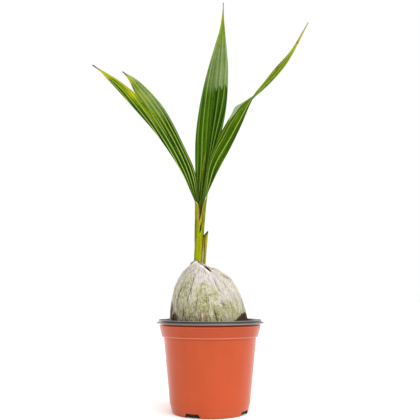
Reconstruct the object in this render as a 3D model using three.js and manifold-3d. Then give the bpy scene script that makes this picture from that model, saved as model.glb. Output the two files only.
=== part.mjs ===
import * as THREE from "three";
import { mergeVertices } from "three/addons/utils/BufferGeometryUtils.js";
import Module from "manifold-3d";

// Potted dwarf Malayan coconut palm: a sprouted husk with three young leaves in a nursery pot
// Millimetres, +Z up, -Y is the plant's front, origin at the centre of the pot's flat underside

const wasm = await Module();
wasm.setup();

// Clearance between neighbouring pieces, and the size of the plain cutting block
const GAP = 0.3;
const HUSK_GAP = 0.4;
const CUTTER_SIZE = 60;

// Pot: radius and height of each corner of the outer wall
const POT_SIDES = 56;
const POT_WALL = 1.4;
const POT_FLOOR = 1.8;
const FOOT = { radius: 72.3, height: 0 };
const FOOT_ROUND = { radius: 73.5, height: 4 };
const WALL_FOOT = { radius: 76.2, height: 13 };
const LEDGE_INNER = { radius: 91, height: 143 };
const LEDGE_OUTER = { radius: 94.3, height: 144.2 };
const BEAD = { radius: 99.5, height: 165 };
const NECK = { radius: 98.4, height: 168.6 };
const LIP_EDGE = { radius: 105, height: 170.2 };
const MOUTH = { radius: 98.2, height: 176.4 };
const LIP_UNDERSIDE = 169.2;
const LIP_EDGE_ROUND = 0.6;

// Four drainage notches in the pot's bottom edge
const NOTCH_COUNT = 4;
const NOTCH_HEIGHT = 8;
const NOTCH_INNER_RADIUS = 64;
const NOTCH_OUTER_RADIUS = 84;
const NOTCH_TOP_HALF_WIDTH = 13;
const NOTCH_BOTTOM_HALF_WIDTH = 19;
const FIRST_NOTCH_FROM_FRONT = -26.5;

// Potting soil
const SOIL_EDGE_HEIGHT = 162;
const SOIL_EDGE_RADIUS = 95.2;
const SOIL_TOP_HEIGHT = 165;
const SOIL_TOP_RADIUS = 84;

// Coconut husk: an egg with three blunt ridges that leans to the left
const HUSK_SIDES = 36;
const HUSK_RINGS = 20;
const HUSK_RADIUS = 78;
const HUSK_MIDDLE_HEIGHT = 165;
const HUSK_MIDDLE_X = -1;
const HUSK_ABOVE = 121;
const HUSK_BELOW = 82;
const HUSK_LEAN = 0.1;
const HUSK_TIP_BEND = 7;
const HUSK_RIDGE = 0.045;
const HUSK_DEPTH_RATIO = 0.95;

// Raised flap and open split at the top of the husk
const FLAP_X = -27;
const FLAP_Y = -12;
const FLAP_RISE = 8;
const FLAP_SPREAD = 11;
const SPLIT_LENGTH = 48;
const SPLIT_WIDTH = 6;
const SPLIT_DEPTH = 16;
const SPLIT_FROM_RIGHT = -50;
const SPLIT_SLOPE = 22;
const SPLIT_TOP_HEIGHT = 284;

// Stem: a core wrapped by two leaf sheaths and a short scale leaf
const STEM_SIDES = 24;
const STEM_FOOT = new THREE.Vector3(-24.5, 0, 266);
const STEM_FORK = new THREE.Vector3(-19.8, 1, 411);
const BUNDLE_FOOT_RADIUS = 7.4;
const BUNDLE_FORK_RADIUS = 11.6;
const SHEATH_THICKNESS = 1.6;
const SHEATH_ROWS = 10;
const SHEATH_COLUMNS = 16;
const SHEATH_GAP = 0.5;
const CORE_TOP_HEIGHT = 403;
const STACK_ROWS = 8;

// Leaf sheaths: their edges are angles from the front, positive to the right, at each height
const LEFT_SHEATH = {
  top: 410,
  depth: SHEATH_THICKNESS + SHEATH_GAP,
  startEdge: [stop(266, -195), stop(350, -180), stop(410, -125)],
  endEdge: [stop(266, 120), stop(345, 60), stop(372, -8), stop(410, -40)],
};

const RIGHT_SHEATH = {
  top: 417,
  depth: 0,
  startEdge: [stop(266, -160), stop(323, -95), stop(370, -8), stop(398, 20), stop(417, 38)],
  endEdge: [stop(266, 165), stop(350, 150), stop(417, 105)],
};

// Short dry scale leaf that clasps the stem's right side, with a slanted tip
const SCALE_RADIUS = 6.8;
const SCALE_FOOT = new THREE.Vector3(-18, 0.5, 264);
const SCALE_TIP = new THREE.Vector3(-11.8, 0.5, 352);
const SCALE_SLANT = 1.15;
const SCALE_TOP_HEIGHT = 350;

// Leaf blades
const BLADE_ROWS = 18;
const BLADE_THICKNESS = 4.3;
const EDGE_THICKNESS = 2.6;
const PLEATS_PER_HALF = 3;
const PLEAT_DEPTH = 1.3;
const FULL_PLEAT_WIDTH = 24;
const RIB_SIDES = 8;
const RIB_STEPS = 16;
const RIB_OVERLAP = 1.2;

// Left leaf: arches to the left and back, and forks into two tips at the notch
const LEFT_LEAF = {
  rib: [[-28.6, 0, 411.4], [-54, 6, 488], [-104, 26, 576], [-161, 48, 653]],
  nearNotch: [[-209, 44, 692], [-254, 42, 718]],
  nearMargin: [[-32.5, -4, 417], [-60, -6, 477], [-107, 3, 549], [-184, 24, 641], [-255, 41, 716]],
  nearBulge: -0.04,
  farNotch: [[-177, 57, 689], [-193, 61, 708]],
  farMargin: [
    [-26.5, -4, 420], [-34, 2, 472], [-52, 20, 521],
    [-101, 46, 622], [-159, 60, 689], [-192, 61, 710],
  ],
  farBulge: 0.04,
  ribBase: 3,
  ribTip: 2.3,
};

// Middle leaf: upright, folded along its rib, with one long tip
const MIDDLE_LEAF = {
  rib: [[-20, 1, 404.4], [-9, 12, 480], [1, 25, 590], [13, 40, 715], [23, 51, 789], [29.5, 60, 868]],
  nearNotch: [],
  nearMargin: [
    [-24, 3, 415], [-30.5, 4, 465], [-30, 3, 549],
    [-15, 19, 657], [10, 42, 760], [28.5, 59, 868],
  ],
  nearBulge: 0.04,
  farNotch: [],
  farMargin: [[-15.5, 2, 415], [9, 6, 505], [31, 15, 603], [37, 31, 701], [33, 53, 815], [30.5, 59, 868]],
  farBulge: -0.04,
  ribBase: 4.2,
  ribTip: 2.3,
};

// Right leaf: leans to the right and turns over once, a little past half way
const RIGHT_LEAF = {
  rib: [
    [-9.2, -2.5, 418.9], [16, -17, 514], [46, -23, 569],
    [89, -14, 625], [152, -16, 699], [203, -20, 785],
  ],
  nearNotch: [],
  nearMargin: [
    [-13, -6, 424], [-1, -8, 489], [24, -10, 554], [42, -10, 595], [60, -4, 615],
    [101, 8, 640], [152, -8, 693], [203, -19, 785],
  ],
  nearBulge: 0.03,
  farNotch: [],
  farMargin: [
    [-6, -6, 430], [16, -16, 473], [40, -27, 524], [60, -35, 563], [87, -34, 619],
    [133, -22, 685], [163, -21, 720], [202, -20, 786],
  ],
  farBulge: -0.03,
  ribBase: 3,
  ribTip: 2.3,
};

function toSolid(geometry) {
  const bare = geometry.clone();
  bare.deleteAttribute("normal");
  bare.deleteAttribute("uv");
  const merged = mergeVertices(bare, 1e-4);
  const mesh = new wasm.Mesh({
    numProp: 3,
    vertProperties: new Float32Array(merged.attributes.position.array),
    triVerts: new Uint32Array(merged.index.array),
  });
  return new wasm.Manifold(mesh);
}

function toGeometry(solid) {
  const mesh = solid.getMesh();
  const geometry = new THREE.BufferGeometry();
  geometry.setAttribute("position", new THREE.BufferAttribute(mesh.vertProperties, 3));
  geometry.setIndex(new THREE.BufferAttribute(mesh.triVerts, 1));
  geometry.computeVertexNormals();
  return geometry;
}

function degrees(angle) {
  return THREE.MathUtils.degToRad(angle);
}

// A solid of revolution about Z from a list of radius and height corners
function turned(corners, sides) {
  const profile = corners.map(({ radius, height }) => new THREE.Vector2(radius, height));
  return new THREE.LatheGeometry(profile, sides).rotateX(Math.PI / 2);
}

function corner(radius, height) {
  return { radius, height };
}

// A corner of the outer wall moved in by the wall's thickness
function insideOf(outer, inset, rise) {
  return corner(outer.radius - inset, outer.height + rise);
}

// The inner wall from the floor to just under the mouth, moved in by the given clearance
function innerWall(clearance) {
  const inset = POT_WALL + clearance;
  return [
    corner(FOOT.radius - inset, POT_FLOOR + clearance),
    insideOf(FOOT_ROUND, inset, 1),
    insideOf(WALL_FOOT, inset, 0.5),
    insideOf(LEDGE_INNER, inset, 1.6),
    insideOf(LEDGE_OUTER, inset, 1.6),
  ];
}

function potBody() {
  const outside = [
    corner(0, FOOT.height),
    FOOT,
    FOOT_ROUND,
    WALL_FOOT,
    LEDGE_INNER,
    LEDGE_OUTER,
    BEAD,
    NECK,
    corner(NECK.radius, LIP_UNDERSIDE),
    corner(LIP_EDGE.radius - LIP_EDGE_ROUND, LIP_UNDERSIDE),
    LIP_EDGE,
    MOUTH,
  ];
  const inside = [
    insideOf(MOUTH, POT_WALL, -LIP_EDGE_ROUND),
    insideOf(NECK, POT_WALL, 0),
    ...innerWall(0).reverse(),
    corner(0, POT_FLOOR),
  ];
  return toSolid(turned([...outside, ...inside], POT_SIDES));
}

// A trapezoid cutter that reaches through the wall's foot, at an angle measured from the front
function notchCutter(fromFront) {
  const outline = new THREE.Shape([
    new THREE.Vector2(-NOTCH_BOTTOM_HALF_WIDTH, -1),
    new THREE.Vector2(NOTCH_BOTTOM_HALF_WIDTH, -1),
    new THREE.Vector2(NOTCH_TOP_HALF_WIDTH, NOTCH_HEIGHT),
    new THREE.Vector2(-NOTCH_TOP_HALF_WIDTH, NOTCH_HEIGHT),
  ]);
  const depth = NOTCH_OUTER_RADIUS - NOTCH_INNER_RADIUS;
  const cutter = new THREE.ExtrudeGeometry(outline, { depth, bevelEnabled: false });
  cutter.rotateX(Math.PI / 2);
  cutter.translate(0, -NOTCH_INNER_RADIUS, 0);
  cutter.rotateZ(degrees(fromFront));
  return toSolid(cutter);
}

function potSolid() {
  let pot = potBody();
  for (let i = 0; i < NOTCH_COUNT; i += 1) {
    pot = pot.subtract(notchCutter(FIRST_NOTCH_FROM_FRONT + (i * 360) / NOTCH_COUNT));
  }
  return pot;
}

// The husk's egg shape grown outwards by the given clearance
function huskEgg(clearance) {
  const corners = [];
  for (let i = 0; i <= HUSK_RINGS; i += 1) {
    const angle = (i / HUSK_RINGS - 0.5) * Math.PI;
    const reach = angle > 0 ? HUSK_ABOVE : HUSK_BELOW;
    const radius = i % HUSK_RINGS === 0 ? 0 : (HUSK_RADIUS + clearance) * Math.cos(angle);
    corners.push(corner(radius, (reach + clearance) * Math.sin(angle)));
  }
  const egg = turned(corners, HUSK_SIDES);
  const position = egg.getAttribute("position");
  const point = new THREE.Vector3();
  for (let i = 0; i < position.count; i += 1) {
    point.fromBufferAttribute(position, i);
    shapeHuskPoint(point);
    position.setXYZ(i, point.x, point.y, point.z);
  }
  return toSolid(egg);
}

// Ridges, lean and the raised flap, applied to one point of the plain egg
function shapeHuskPoint(point) {
  const fromFront = Math.atan2(point.x, -point.y);
  const ridge = 1 + HUSK_RIDGE * Math.cos(3 * fromFront);
  const tipBend = point.z > 0 ? HUSK_TIP_BEND * (point.z / HUSK_ABOVE) ** 6 : 0;
  const x = point.x * ridge + HUSK_MIDDLE_X - HUSK_LEAN * point.z - tipBend;
  const y = point.y * ridge * HUSK_DEPTH_RATIO;
  const away = ((x - FLAP_X) ** 2 + (y - FLAP_Y) ** 2) / FLAP_SPREAD ** 2;
  const flap = point.z > 0 ? FLAP_RISE * Math.exp(-away) : 0;
  point.set(x, y, point.z + HUSK_MIDDLE_HEIGHT + flap);
}

// A thin wedge from the stem's foot down the front of the husk
function splitCutter() {
  const outline = new THREE.Shape([
    new THREE.Vector2(-SPLIT_WIDTH / 2, SPLIT_DEPTH),
    new THREE.Vector2(0, -SPLIT_DEPTH),
    new THREE.Vector2(SPLIT_WIDTH / 2, SPLIT_DEPTH),
  ]);
  const cutter = new THREE.ExtrudeGeometry(outline, { depth: SPLIT_LENGTH, bevelEnabled: false });
  cutter.rotateX(Math.PI / 2);
  cutter.rotateX(degrees(SPLIT_SLOPE));
  cutter.rotateZ(degrees(90 + SPLIT_FROM_RIGHT));
  cutter.translate(STEM_FOOT.x, STEM_FOOT.y, SPLIT_TOP_HEIGHT);
  return toSolid(cutter);
}

// Share of the way from the stem's foot to its fork at a height
function stemShare(height) {
  return (height - STEM_FOOT.z) / (STEM_FORK.z - STEM_FOOT.z);
}

function stemCentre(height) {
  const centre = STEM_FOOT.clone().lerp(STEM_FORK, stemShare(height));
  return centre.setZ(height);
}

// The whole bundle swells slowly, then faster towards the fork
function bundleRadius(height) {
  const share = Math.max(stemShare(height), 0);
  return BUNDLE_FOOT_RADIUS + (BUNDLE_FORK_RADIUS - BUNDLE_FOOT_RADIUS) * share ** 1.6;
}

// A point on the stem at an angle from the front, positive towards the right
function aroundStem(height, fromFront, radius) {
  const angle = degrees(fromFront);
  const offset = new THREE.Vector3(Math.sin(angle) * radius, -Math.cos(angle) * radius, 0);
  return stemCentre(height).add(offset);
}

// A stack of level rings closed at both ends
function stacked(rings) {
  const sides = rings[0].length;
  const points = rings.flat();
  const faces = [];
  for (let i = 0; i < rings.length - 1; i += 1) {
    for (let k = 0; k < sides; k += 1) {
      const next = (k + 1) % sides;
      const a = i * sides + k;
      const b = i * sides + next;
      faces.push(a, b, b + sides, a, b + sides, a + sides);
    }
  }
  const last = (rings.length - 1) * sides;
  for (let k = 1; k < sides - 1; k += 1) {
    faces.push(0, k + 1, k);
    faces.push(last, last + k, last + k + 1);
  }
  return toSolid(indexed(points, faces));
}

function indexed(points, faces) {
  const geometry = new THREE.BufferGeometry().setFromPoints(points);
  geometry.setIndex(faces);
  return geometry;
}

function stemStack(low, high, radiusAt) {
  const rings = [];
  for (let i = 0; i <= STACK_ROWS; i += 1) {
    const height = THREE.MathUtils.lerp(low, high, i / STACK_ROWS);
    const ring = [];
    for (let k = 0; k < STEM_SIDES; k += 1) {
      ring.push(aroundStem(height, (k * 360) / STEM_SIDES, radiusAt(height)));
    }
    rings.push(ring);
  }
  return stacked(rings);
}

function coreRadius(height) {
  return bundleRadius(height) - 2 * (SHEATH_THICKNESS + SHEATH_GAP);
}

// Smooth surface normal at one grid point
function gridNormal(grid, i, j) {
  const up = grid[Math.min(i + 1, grid.length - 1)][j].clone();
  const down = grid[Math.max(i - 1, 0)][j];
  const right = grid[i][Math.min(j + 1, grid[i].length - 1)].clone();
  const left = grid[i][Math.max(j - 1, 0)];
  return up.sub(down).cross(right.sub(left)).normalize();
}

// A closed sheet on a grid of points, with its thickness set at each point
function sheet(grid, thicknessAt) {
  const rows = grid.length;
  const columns = grid[0].length;
  const half = rows * columns;
  const points = [];
  for (const side of [0.5, -0.5]) {
    for (let i = 0; i < rows; i += 1) {
      for (let j = 0; j < columns; j += 1) {
        const offset = gridNormal(grid, i, j).multiplyScalar(side * thicknessAt(i, j));
        points.push(grid[i][j].clone().add(offset));
      }
    }
  }
  const faces = [];
  for (let i = 0; i < rows - 1; i += 1) {
    for (let j = 0; j < columns - 1; j += 1) {
      const a = i * columns + j;
      const b = a + columns;
      faces.push(a, b, b + 1, a, b + 1, a + 1);
      faces.push(half + a, half + b + 1, half + b, half + a, half + a + 1, half + b + 1);
    }
  }
  const rim = rimLoop(rows, columns);
  rim.forEach((p, n) => {
    const q = rim[(n + 1) % rim.length];
    faces.push(q, p, half + p, q, half + p, half + q);
  });
  return toSolid(indexed(points, faces));
}

// Grid indices once round the edge, anticlockwise seen from the front face
function rimLoop(rows, columns) {
  const loop = [];
  for (let i = 0; i < rows - 1; i += 1) loop.push(i * columns);
  for (let j = 0; j < columns - 1; j += 1) loop.push((rows - 1) * columns + j);
  for (let i = rows - 1; i > 0; i -= 1) loop.push(i * columns + columns - 1);
  for (let j = columns - 1; j > 0; j -= 1) loop.push(j);
  return loop;
}

// A value read off a line of height and value stops
function alongStops(stops, height) {
  const next = stops.findIndex((stop) => stop.height >= height);
  if (next <= 0) return stops.at(next < 0 ? -1 : 0).value;
  const low = stops[next - 1];
  const high = stops[next];
  const share = (height - low.height) / (high.height - low.height);
  return THREE.MathUtils.lerp(low.value, high.value, share);
}

function stop(height, value) {
  return { height, value };
}

// A leaf sheath: a sheet that wraps the stem between two edges given by angle from the front
function sheath(shape) {
  const grid = [];
  for (let i = 0; i <= SHEATH_ROWS; i += 1) {
    const height = THREE.MathUtils.lerp(STEM_FOOT.z, shape.top, i / SHEATH_ROWS);
    const radius = bundleRadius(height) - shape.depth - SHEATH_THICKNESS / 2;
    const row = [];
    for (let j = 0; j <= SHEATH_COLUMNS; j += 1) {
      const start = alongStops(shape.startEdge, height);
      const end = alongStops(shape.endEdge, height);
      row.push(aroundStem(height, THREE.MathUtils.lerp(start, end, j / SHEATH_COLUMNS), radius));
    }
    grid.push(row);
  }
  return sheet(grid, () => SHEATH_THICKNESS);
}

function scaleLeafTube(clearance) {
  const rings = [];
  for (let i = 0; i <= STACK_ROWS; i += 1) {
    const centre = SCALE_FOOT.clone().lerp(SCALE_TIP, i / STACK_ROWS);
    const ring = [];
    for (let k = 0; k < STEM_SIDES; k += 1) {
      const angle = (k * 2 * Math.PI) / STEM_SIDES;
      const radius = SCALE_RADIUS + clearance;
      ring.push(new THREE.Vector3(Math.sin(angle) * radius, -Math.cos(angle) * radius, 0).add(centre));
    }
    rings.push(ring);
  }
  return stacked(rings);
}

// Everything above a slanted plane through the scale leaf's tip
function scaleTipCutter() {
  const block = new THREE.BoxGeometry(CUTTER_SIZE, CUTTER_SIZE, CUTTER_SIZE);
  block.translate(0, 0, CUTTER_SIZE / 2);
  block.rotateY(-Math.atan(SCALE_SLANT));
  block.translate(SCALE_TIP.x + SCALE_RADIUS, SCALE_TIP.y, SCALE_TOP_HEIGHT);
  return toSolid(block);
}

function stemEnvelope(clearance) {
  return stemStack(STEM_FOOT.z - clearance, STEM_FORK.z, (height) => bundleRadius(height) + clearance);
}

function scaleLeafSolid() {
  return scaleLeafTube(0).subtract(stemEnvelope(GAP)).subtract(scaleTipCutter());
}

// A rib: a tapering rod along a curve
function ribSolid(curve, baseRadius, tipRadius) {
  const frames = curve.computeFrenetFrames(RIB_STEPS, false);
  const rings = [];
  for (let i = 0; i <= RIB_STEPS; i += 1) {
    const centre = curve.getPointAt(i / RIB_STEPS);
    const radius = THREE.MathUtils.lerp(baseRadius, tipRadius, i / RIB_STEPS);
    const ring = [];
    for (let k = 0; k < RIB_SIDES; k += 1) {
      const angle = (k * 2 * Math.PI) / RIB_SIDES;
      const across = frames.normals[i].clone().multiplyScalar(Math.cos(angle) * radius);
      const over = frames.binormals[i].clone().multiplyScalar(Math.sin(angle) * radius);
      ring.push(centre.clone().add(across).add(over));
    }
    rings.push(ring);
  }
  return stacked(rings);
}

function smoothCurve(points) {
  const knots = points.map(([x, y, z]) => new THREE.Vector3(x, y, z));
  return new THREE.CatmullRomCurve3(knots, false, "centripetal");
}

// Zigzag between -1 and 1 with a fold line at every whole step
function zigzag(steps) {
  return 1 - 2 * Math.abs((steps % 2) - 1);
}

// One half of a leaf, pleated, between the rib side and the outer margin
function halfBlade(ribSide, margin, bulge) {
  const inner = smoothCurve(ribSide);
  const outer = smoothCurve(margin);
  const columns = PLEATS_PER_HALF * 2;
  const flat = [];
  for (let i = 0; i <= BLADE_ROWS; i += 1) {
    const start = inner.getPointAt(i / BLADE_ROWS);
    const end = outer.getPointAt(i / BLADE_ROWS);
    const across = end.clone().sub(start).normalize();
    start.addScaledVector(across, -RIB_OVERLAP);
    const row = [];
    for (let j = 0; j <= columns; j += 1) row.push(start.clone().lerp(end, j / columns));
    flat.push(row);
  }
  const grid = flat.map((row, i) => row.map((point, j) => {
    const width = row[0].distanceTo(row[columns]);
    const room = THREE.MathUtils.smoothstep(width, BLADE_THICKNESS, FULL_PLEAT_WIDTH);
    const fold = PLEAT_DEPTH * room * zigzag(j);
    const swell = bulge * width * Math.sin((Math.PI * j) / columns);
    return point.clone().addScaledVector(gridNormal(flat, i, j), fold + swell);
  }));
  return sheet(grid, (i, j) => (j % columns === 0 ? EDGE_THICKNESS : BLADE_THICKNESS));
}

// A leaf: the rib, and two halves that part at the notch if there is one
function leafSolid(shape) {
  const rib = smoothCurve(shape.rib);
  const near = halfBlade([...shape.rib, ...shape.nearNotch], shape.nearMargin, shape.nearBulge);
  const far = halfBlade([...shape.rib, ...shape.farNotch], shape.farMargin, shape.farBulge);
  return outerSkin(ribSolid(rib, shape.ribBase, shape.ribTip).add(near).add(far));
}

// The largest shell alone, so that no sealed pocket stays where the halves meet the rib
function outerSkin(solid) {
  return solid.decompose().reduce((most, shell) => (shell.volume() > most.volume() ? shell : most));
}

const husk = huskEgg(0)
  .subtract(stemEnvelope(GAP))
  .subtract(scaleLeafTube(GAP).translate([0, 0, -GAP]))
  .subtract(splitCutter());

const soilTop = [
  corner(SOIL_EDGE_RADIUS, SOIL_EDGE_HEIGHT),
  corner(SOIL_TOP_RADIUS, SOIL_TOP_HEIGHT),
  corner(0, SOIL_TOP_HEIGHT),
];
const soil = toSolid(turned([corner(0, POT_FLOOR + GAP), ...innerWall(GAP), ...soilTop], POT_SIDES))
  .subtract(huskEgg(HUSK_GAP));

function material(color, roughness) {
  return new THREE.MeshStandardMaterial({ color, roughness, metalness: 0 });
}

function piece(name, solid, looks) {
  const mesh = new THREE.Mesh(toGeometry(solid), looks);
  mesh.name = name;
  return mesh;
}

const TERRACOTTA = material(0xda6846, 0.5);
const SOIL_BROWN = material(0x3a2c20, 0.95);
const HUSK_GREY = material(0xc9c2ac, 0.9);
const SHEATH_GREEN = material(0x88980f, 0.5);
const DRY_BROWN = material(0x8a7a4a, 0.8);
const LEAF_GREEN = material(0x4c7a1c, 0.45);

const palm = new THREE.Group();
palm.name = "potted_coconut_palm";
palm.add(
  piece("pot", potSolid(), TERRACOTTA),
  piece("potting_soil", soil, SOIL_BROWN),
  piece("husk", husk, HUSK_GREY),
  piece("stem", stemStack(STEM_FOOT.z, CORE_TOP_HEIGHT, coreRadius), SHEATH_GREEN),
  piece("sheath_left", sheath(LEFT_SHEATH), SHEATH_GREEN),
  piece("sheath_right", sheath(RIGHT_SHEATH), SHEATH_GREEN),
  piece("scale_leaf", scaleLeafSolid(), DRY_BROWN),
  piece("leaf_left", leafSolid(LEFT_LEAF), LEAF_GREEN),
  piece("leaf_middle", leafSolid(MIDDLE_LEAF), LEAF_GREEN),
  piece("leaf_right", leafSolid(RIGHT_LEAF), LEAF_GREEN),
);

export default palm;
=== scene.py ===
import math
import random

import bpy
import numpy as np
from mathutils import Matrix, Vector, noise


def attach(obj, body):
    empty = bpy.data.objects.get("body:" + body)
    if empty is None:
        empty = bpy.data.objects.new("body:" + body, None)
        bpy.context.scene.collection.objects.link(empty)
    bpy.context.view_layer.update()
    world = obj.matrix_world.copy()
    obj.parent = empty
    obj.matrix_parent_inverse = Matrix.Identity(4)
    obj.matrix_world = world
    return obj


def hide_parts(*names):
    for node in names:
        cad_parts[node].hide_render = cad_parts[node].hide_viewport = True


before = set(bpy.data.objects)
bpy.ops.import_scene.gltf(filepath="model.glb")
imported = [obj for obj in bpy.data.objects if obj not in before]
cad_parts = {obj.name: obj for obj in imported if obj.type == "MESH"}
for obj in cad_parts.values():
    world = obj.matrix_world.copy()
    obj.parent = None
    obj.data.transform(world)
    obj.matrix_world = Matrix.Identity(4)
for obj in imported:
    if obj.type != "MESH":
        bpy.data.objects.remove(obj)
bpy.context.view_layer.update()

# Potted coconut palm seedling. Metres, +Z up, -Y is the plant's front, origin under the middle of the pot.
# Lengths are written in millimetres and turned into metres by MM.

dice = random.Random(11)
MM = 0.001

# Camera: distance from the pot's axis, height, upward tilt in degrees, and lens for a square picture
CAMERA_DISTANCE = 1.230
CAMERA_HEIGHT = 0.222
CAMERA_TILT = 7.967
CAMERA_LENS = 52.67
CAMERA_SENSOR = 36
CAMERA_REACH = 100

# Lights. A softbox has its place, size and power, a sun its degrees from the front and above the floor,
# its spread in degrees and its strength.
ROOM_LIGHT = 0.37
SOFTBOX_TARGET = (0, 0, 0.2)
SOFTBOXES = {
    "left_rim_softbox": ((-1.1, 1.5, 0.4), 1.1, 14),
    "right_rim_softbox": ((1.3, 1.4, 0.4), 1.1, 8),
}
SUNS = {
    "key_light": (22, 50, 60, 2.25),
    "top_light": (120, 72, 100, 1.3),
}
SUN_DISTANCE = 3
FLOOR_SIZE = 30
FLOOR_GLOW = 0.10

# Pot: radius and height of each ring, from the underside round the lip and down the inside to the floor
POT_SIDES = 144
FOOT_RINGS = [(57.2, 0), (71.2, 0), (72.4, 0.5), (73.1, 1.8), (73.6, 4), (75.9, 11.8), (76.3, 13.2)]
BAND_RINGS = [(77.0, 16.8), (77.5, 17.5), (77.7, 18.6)]
LEDGE_RINGS = [(90.9, 142.4), (91.1, 143.0), (91.7, 143.4), (93.5, 143.7), (94.2, 144.2), (94.5, 145.2)]
BEAD_RINGS = [(99.2, 163.3), (99.7, 164.3), (99.7, 165.2), (99.1, 166.0), (98.5, 166.8), (98.4, 168.5)]
LIP_RINGS = [
    (98.8, 169.1), (103.2, 169.2), (104.8, 169.3), (105.6, 169.8), (105.8, 170.5), (105.5, 171.2),
    (104.7, 171.6), (103.3, 171.8), (101.7, 172.1), (100.8, 172.7), (100.5, 173.4), (100.7, 174.1),
    (101.2, 174.7), (101.4, 175.3), (101.2, 175.9), (100.6, 176.3), (99.6, 176.4), (98.6, 176.3),
    (97.7, 175.8), (97.2, 174.8),
]
INNER_RINGS = [
    (96.9, 168.6), (93.0, 146.4), (92.4, 145.5), (90.0, 145.1), (89.4, 144.3),
    (75.0, 14.4), (72.4, 5.8), (71.2, 2.4), (69.6, 1.9),
]
UNDERSIDE_RADIUS = 56 * MM
UNDERSIDE_RECESS = 0.9 * MM
LIP_UNDERSIDE = 169.25 * MM
LIP_BLACK_FROM = 103.8 * MM
INNER_FACE_DEPTH = 0.5 * MM
BLACK_CLEARANCE = 0.3 * MM
DUST_HEIGHT = 30 * MM
# Painted highlights and painted shade round the pot, as bands: lowest and highest millimetre, strength and
# colour
POT_PAINTED_LIGHT_BANDS = [
    # A painted highlight on the ledge's edge, painted shadow under the ledge, a painted highlight on the
    # bead, painted shade under the lip, and painted shade over the collar
    (144.0, 145.6, 0.45, (0.74, 0.30, 0.19)),
    (141.8, 143.1, 0.50, (0.33, 0.045, 0.014)),
    (164.2, 165.6, 0.35, (0.74, 0.28, 0.17)),
    (166.8, 170.0, 0.85, (0.19, 0.012, 0.005)),
    (145.9, 164.1, 0.30, (0.36, 0.045, 0.014)),
]
NOTCHES = 4
FIRST_NOTCH = -26.5
NOTCH_HEIGHT = 8 * MM
NOTCH_INNER = 64 * MM
NOTCH_OUTER = 84 * MM
NOTCH_FOOT_WIDTH = 38 * MM
NOTCH_TOP_WIDTH = 26 * MM

# Soil
SOIL_SIDES = 120
SOIL_RINGS = [
    (71.8, 5.2), (74.4, 13.8), (89.0, 144.9), (92.4, 146.2), (95.0, 161.2), (94.2, 162.6), (92.6, 163.2),
]
SOIL_FLOOR_RADIUS = 70.4 * MM
SOIL_FLOOR_HEIGHT = 2.2 * MM
SOIL_INSETS = 44
SOIL_INSET = 2.0 * MM
SOIL_LEVEL = 163 * MM
SOIL_LUMPS = 3.2 * MM
SOIL_GRAINS = 0.9 * MM
SOIL_SWELL = 1.2 * MM
SOIL_EDGE = 6 * MM
SOIL_OUTER = 93 * MM
CHIPS = 1500
CHIP_LENGTH = (2.0, 8.0)
CHIP_TILT = 0.6
STRANDS_IN_SOIL = 420
STRAND_LENGTH = (5, 16)
STRAND_STEPS = 4
STRAND_RADIUS = 0.28 * MM
STRAND_REST = 0.6 * MM

# Husk: an egg with three blunt ridges that leans to the left, as the frame's solid has it
HUSK_SEGMENTS = 380
HUSK_RINGS = 250
HUSK_CROWDING = 1.5
HUSK_RADIUS = 78 * MM
HUSK_MIDDLE = Vector((-1 * MM, 0, 165 * MM))
HUSK_ABOVE = 121 * MM
HUSK_BELOW = 82 * MM
HUSK_LEAN = 0.1
HUSK_TIP_BEND = 7 * MM
HUSK_RIDGE = 0.045
HUSK_DEPTH_RATIO = 0.95
FLAP_PLACE = (-27 * MM, -12 * MM)
FLAP_RISE = 8 * MM
FLAP_SPREAD = 11 * MM
# How far one radian of latitude reaches over the husk, for its grooves
LATITUDE_LENGTH = 105 * MM
# The socket round the stem and the scale leaf: where it is measured, its depth, and the scale leaf's place
SOCKET_HEIGHT = 286 * MM
SOCKET_DEPTH = 14 * MM
SOCKET_SCALE_PLACE = (-16.6 * MM, 0.5 * MM)

# Noises over the husk: stretch, shift, scale and octaves
HUSK_NOISES = {
    "ribs": ((1, 1, 0.10), (0, 0, 0), 13, 3),
    "fibres": ((1, 1, 0.07), (0, 0, 0), 40, 2),
    "lumps": ((1, 1, 1), (0, 0, 0), 3.4, 3),
    "mottle": ((1, 1, 0.6), (0, 0, 0), 22, 4),
    "drift": ((1, 1, 1), (3, 1, 2), 6.5, 3),
}

# Loose fibres round the stem's foot: distance from it and length in millimetres, height, and the radii
# along each
LOOSE_FIBRES = 520
FIBRE_REACH = (7.8, 12)
FIBRE_LENGTH = (4, 10)
FIBRE_HEIGHT = 284 * MM
FIBRE_BACK_RISE = 5 * MM
FIBRE_STEPS = (0, 0.35, 0.7, 1)
FIBRE_RADII = [0.48 * MM, 0.42 * MM, 0.3 * MM, 0.1 * MM]

# The split in the husk's top, in plan, from the left of the stem round its front to the right
SPLIT_PLAN = [
    (-34, -2), (-29, -8), (-24, -12.5), (-18.5, -15.5), (-13, -20.5), (-9.9, -24.8), (-5.8, -29.3),
    (-1.9, -33), (2, -35.5), (6, -38.5),
]
SPLIT_HALF_WIDTH = 2.3 * MM
SPLIT_DEPTH = 9 * MM
SPLIT_LIFT = 0.5 * MM

# Stem, sheaths and scale leaf, as the frame's solids have them
STEM_FOOT = Vector((-24.5, 0, 266)) * MM
STEM_FORK = Vector((-19.8, 1, 411)) * MM
BUNDLE_FOOT_RADIUS = 7.4 * MM
BUNDLE_FORK_RADIUS = 11.6 * MM
SCALE_FOOT = Vector((-17.2, 0.5, 264)) * MM
SCALE_TIP = Vector((-11.0, 0.5, 352)) * MM
SCALE_RADIUS = 7.6 * MM

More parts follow.
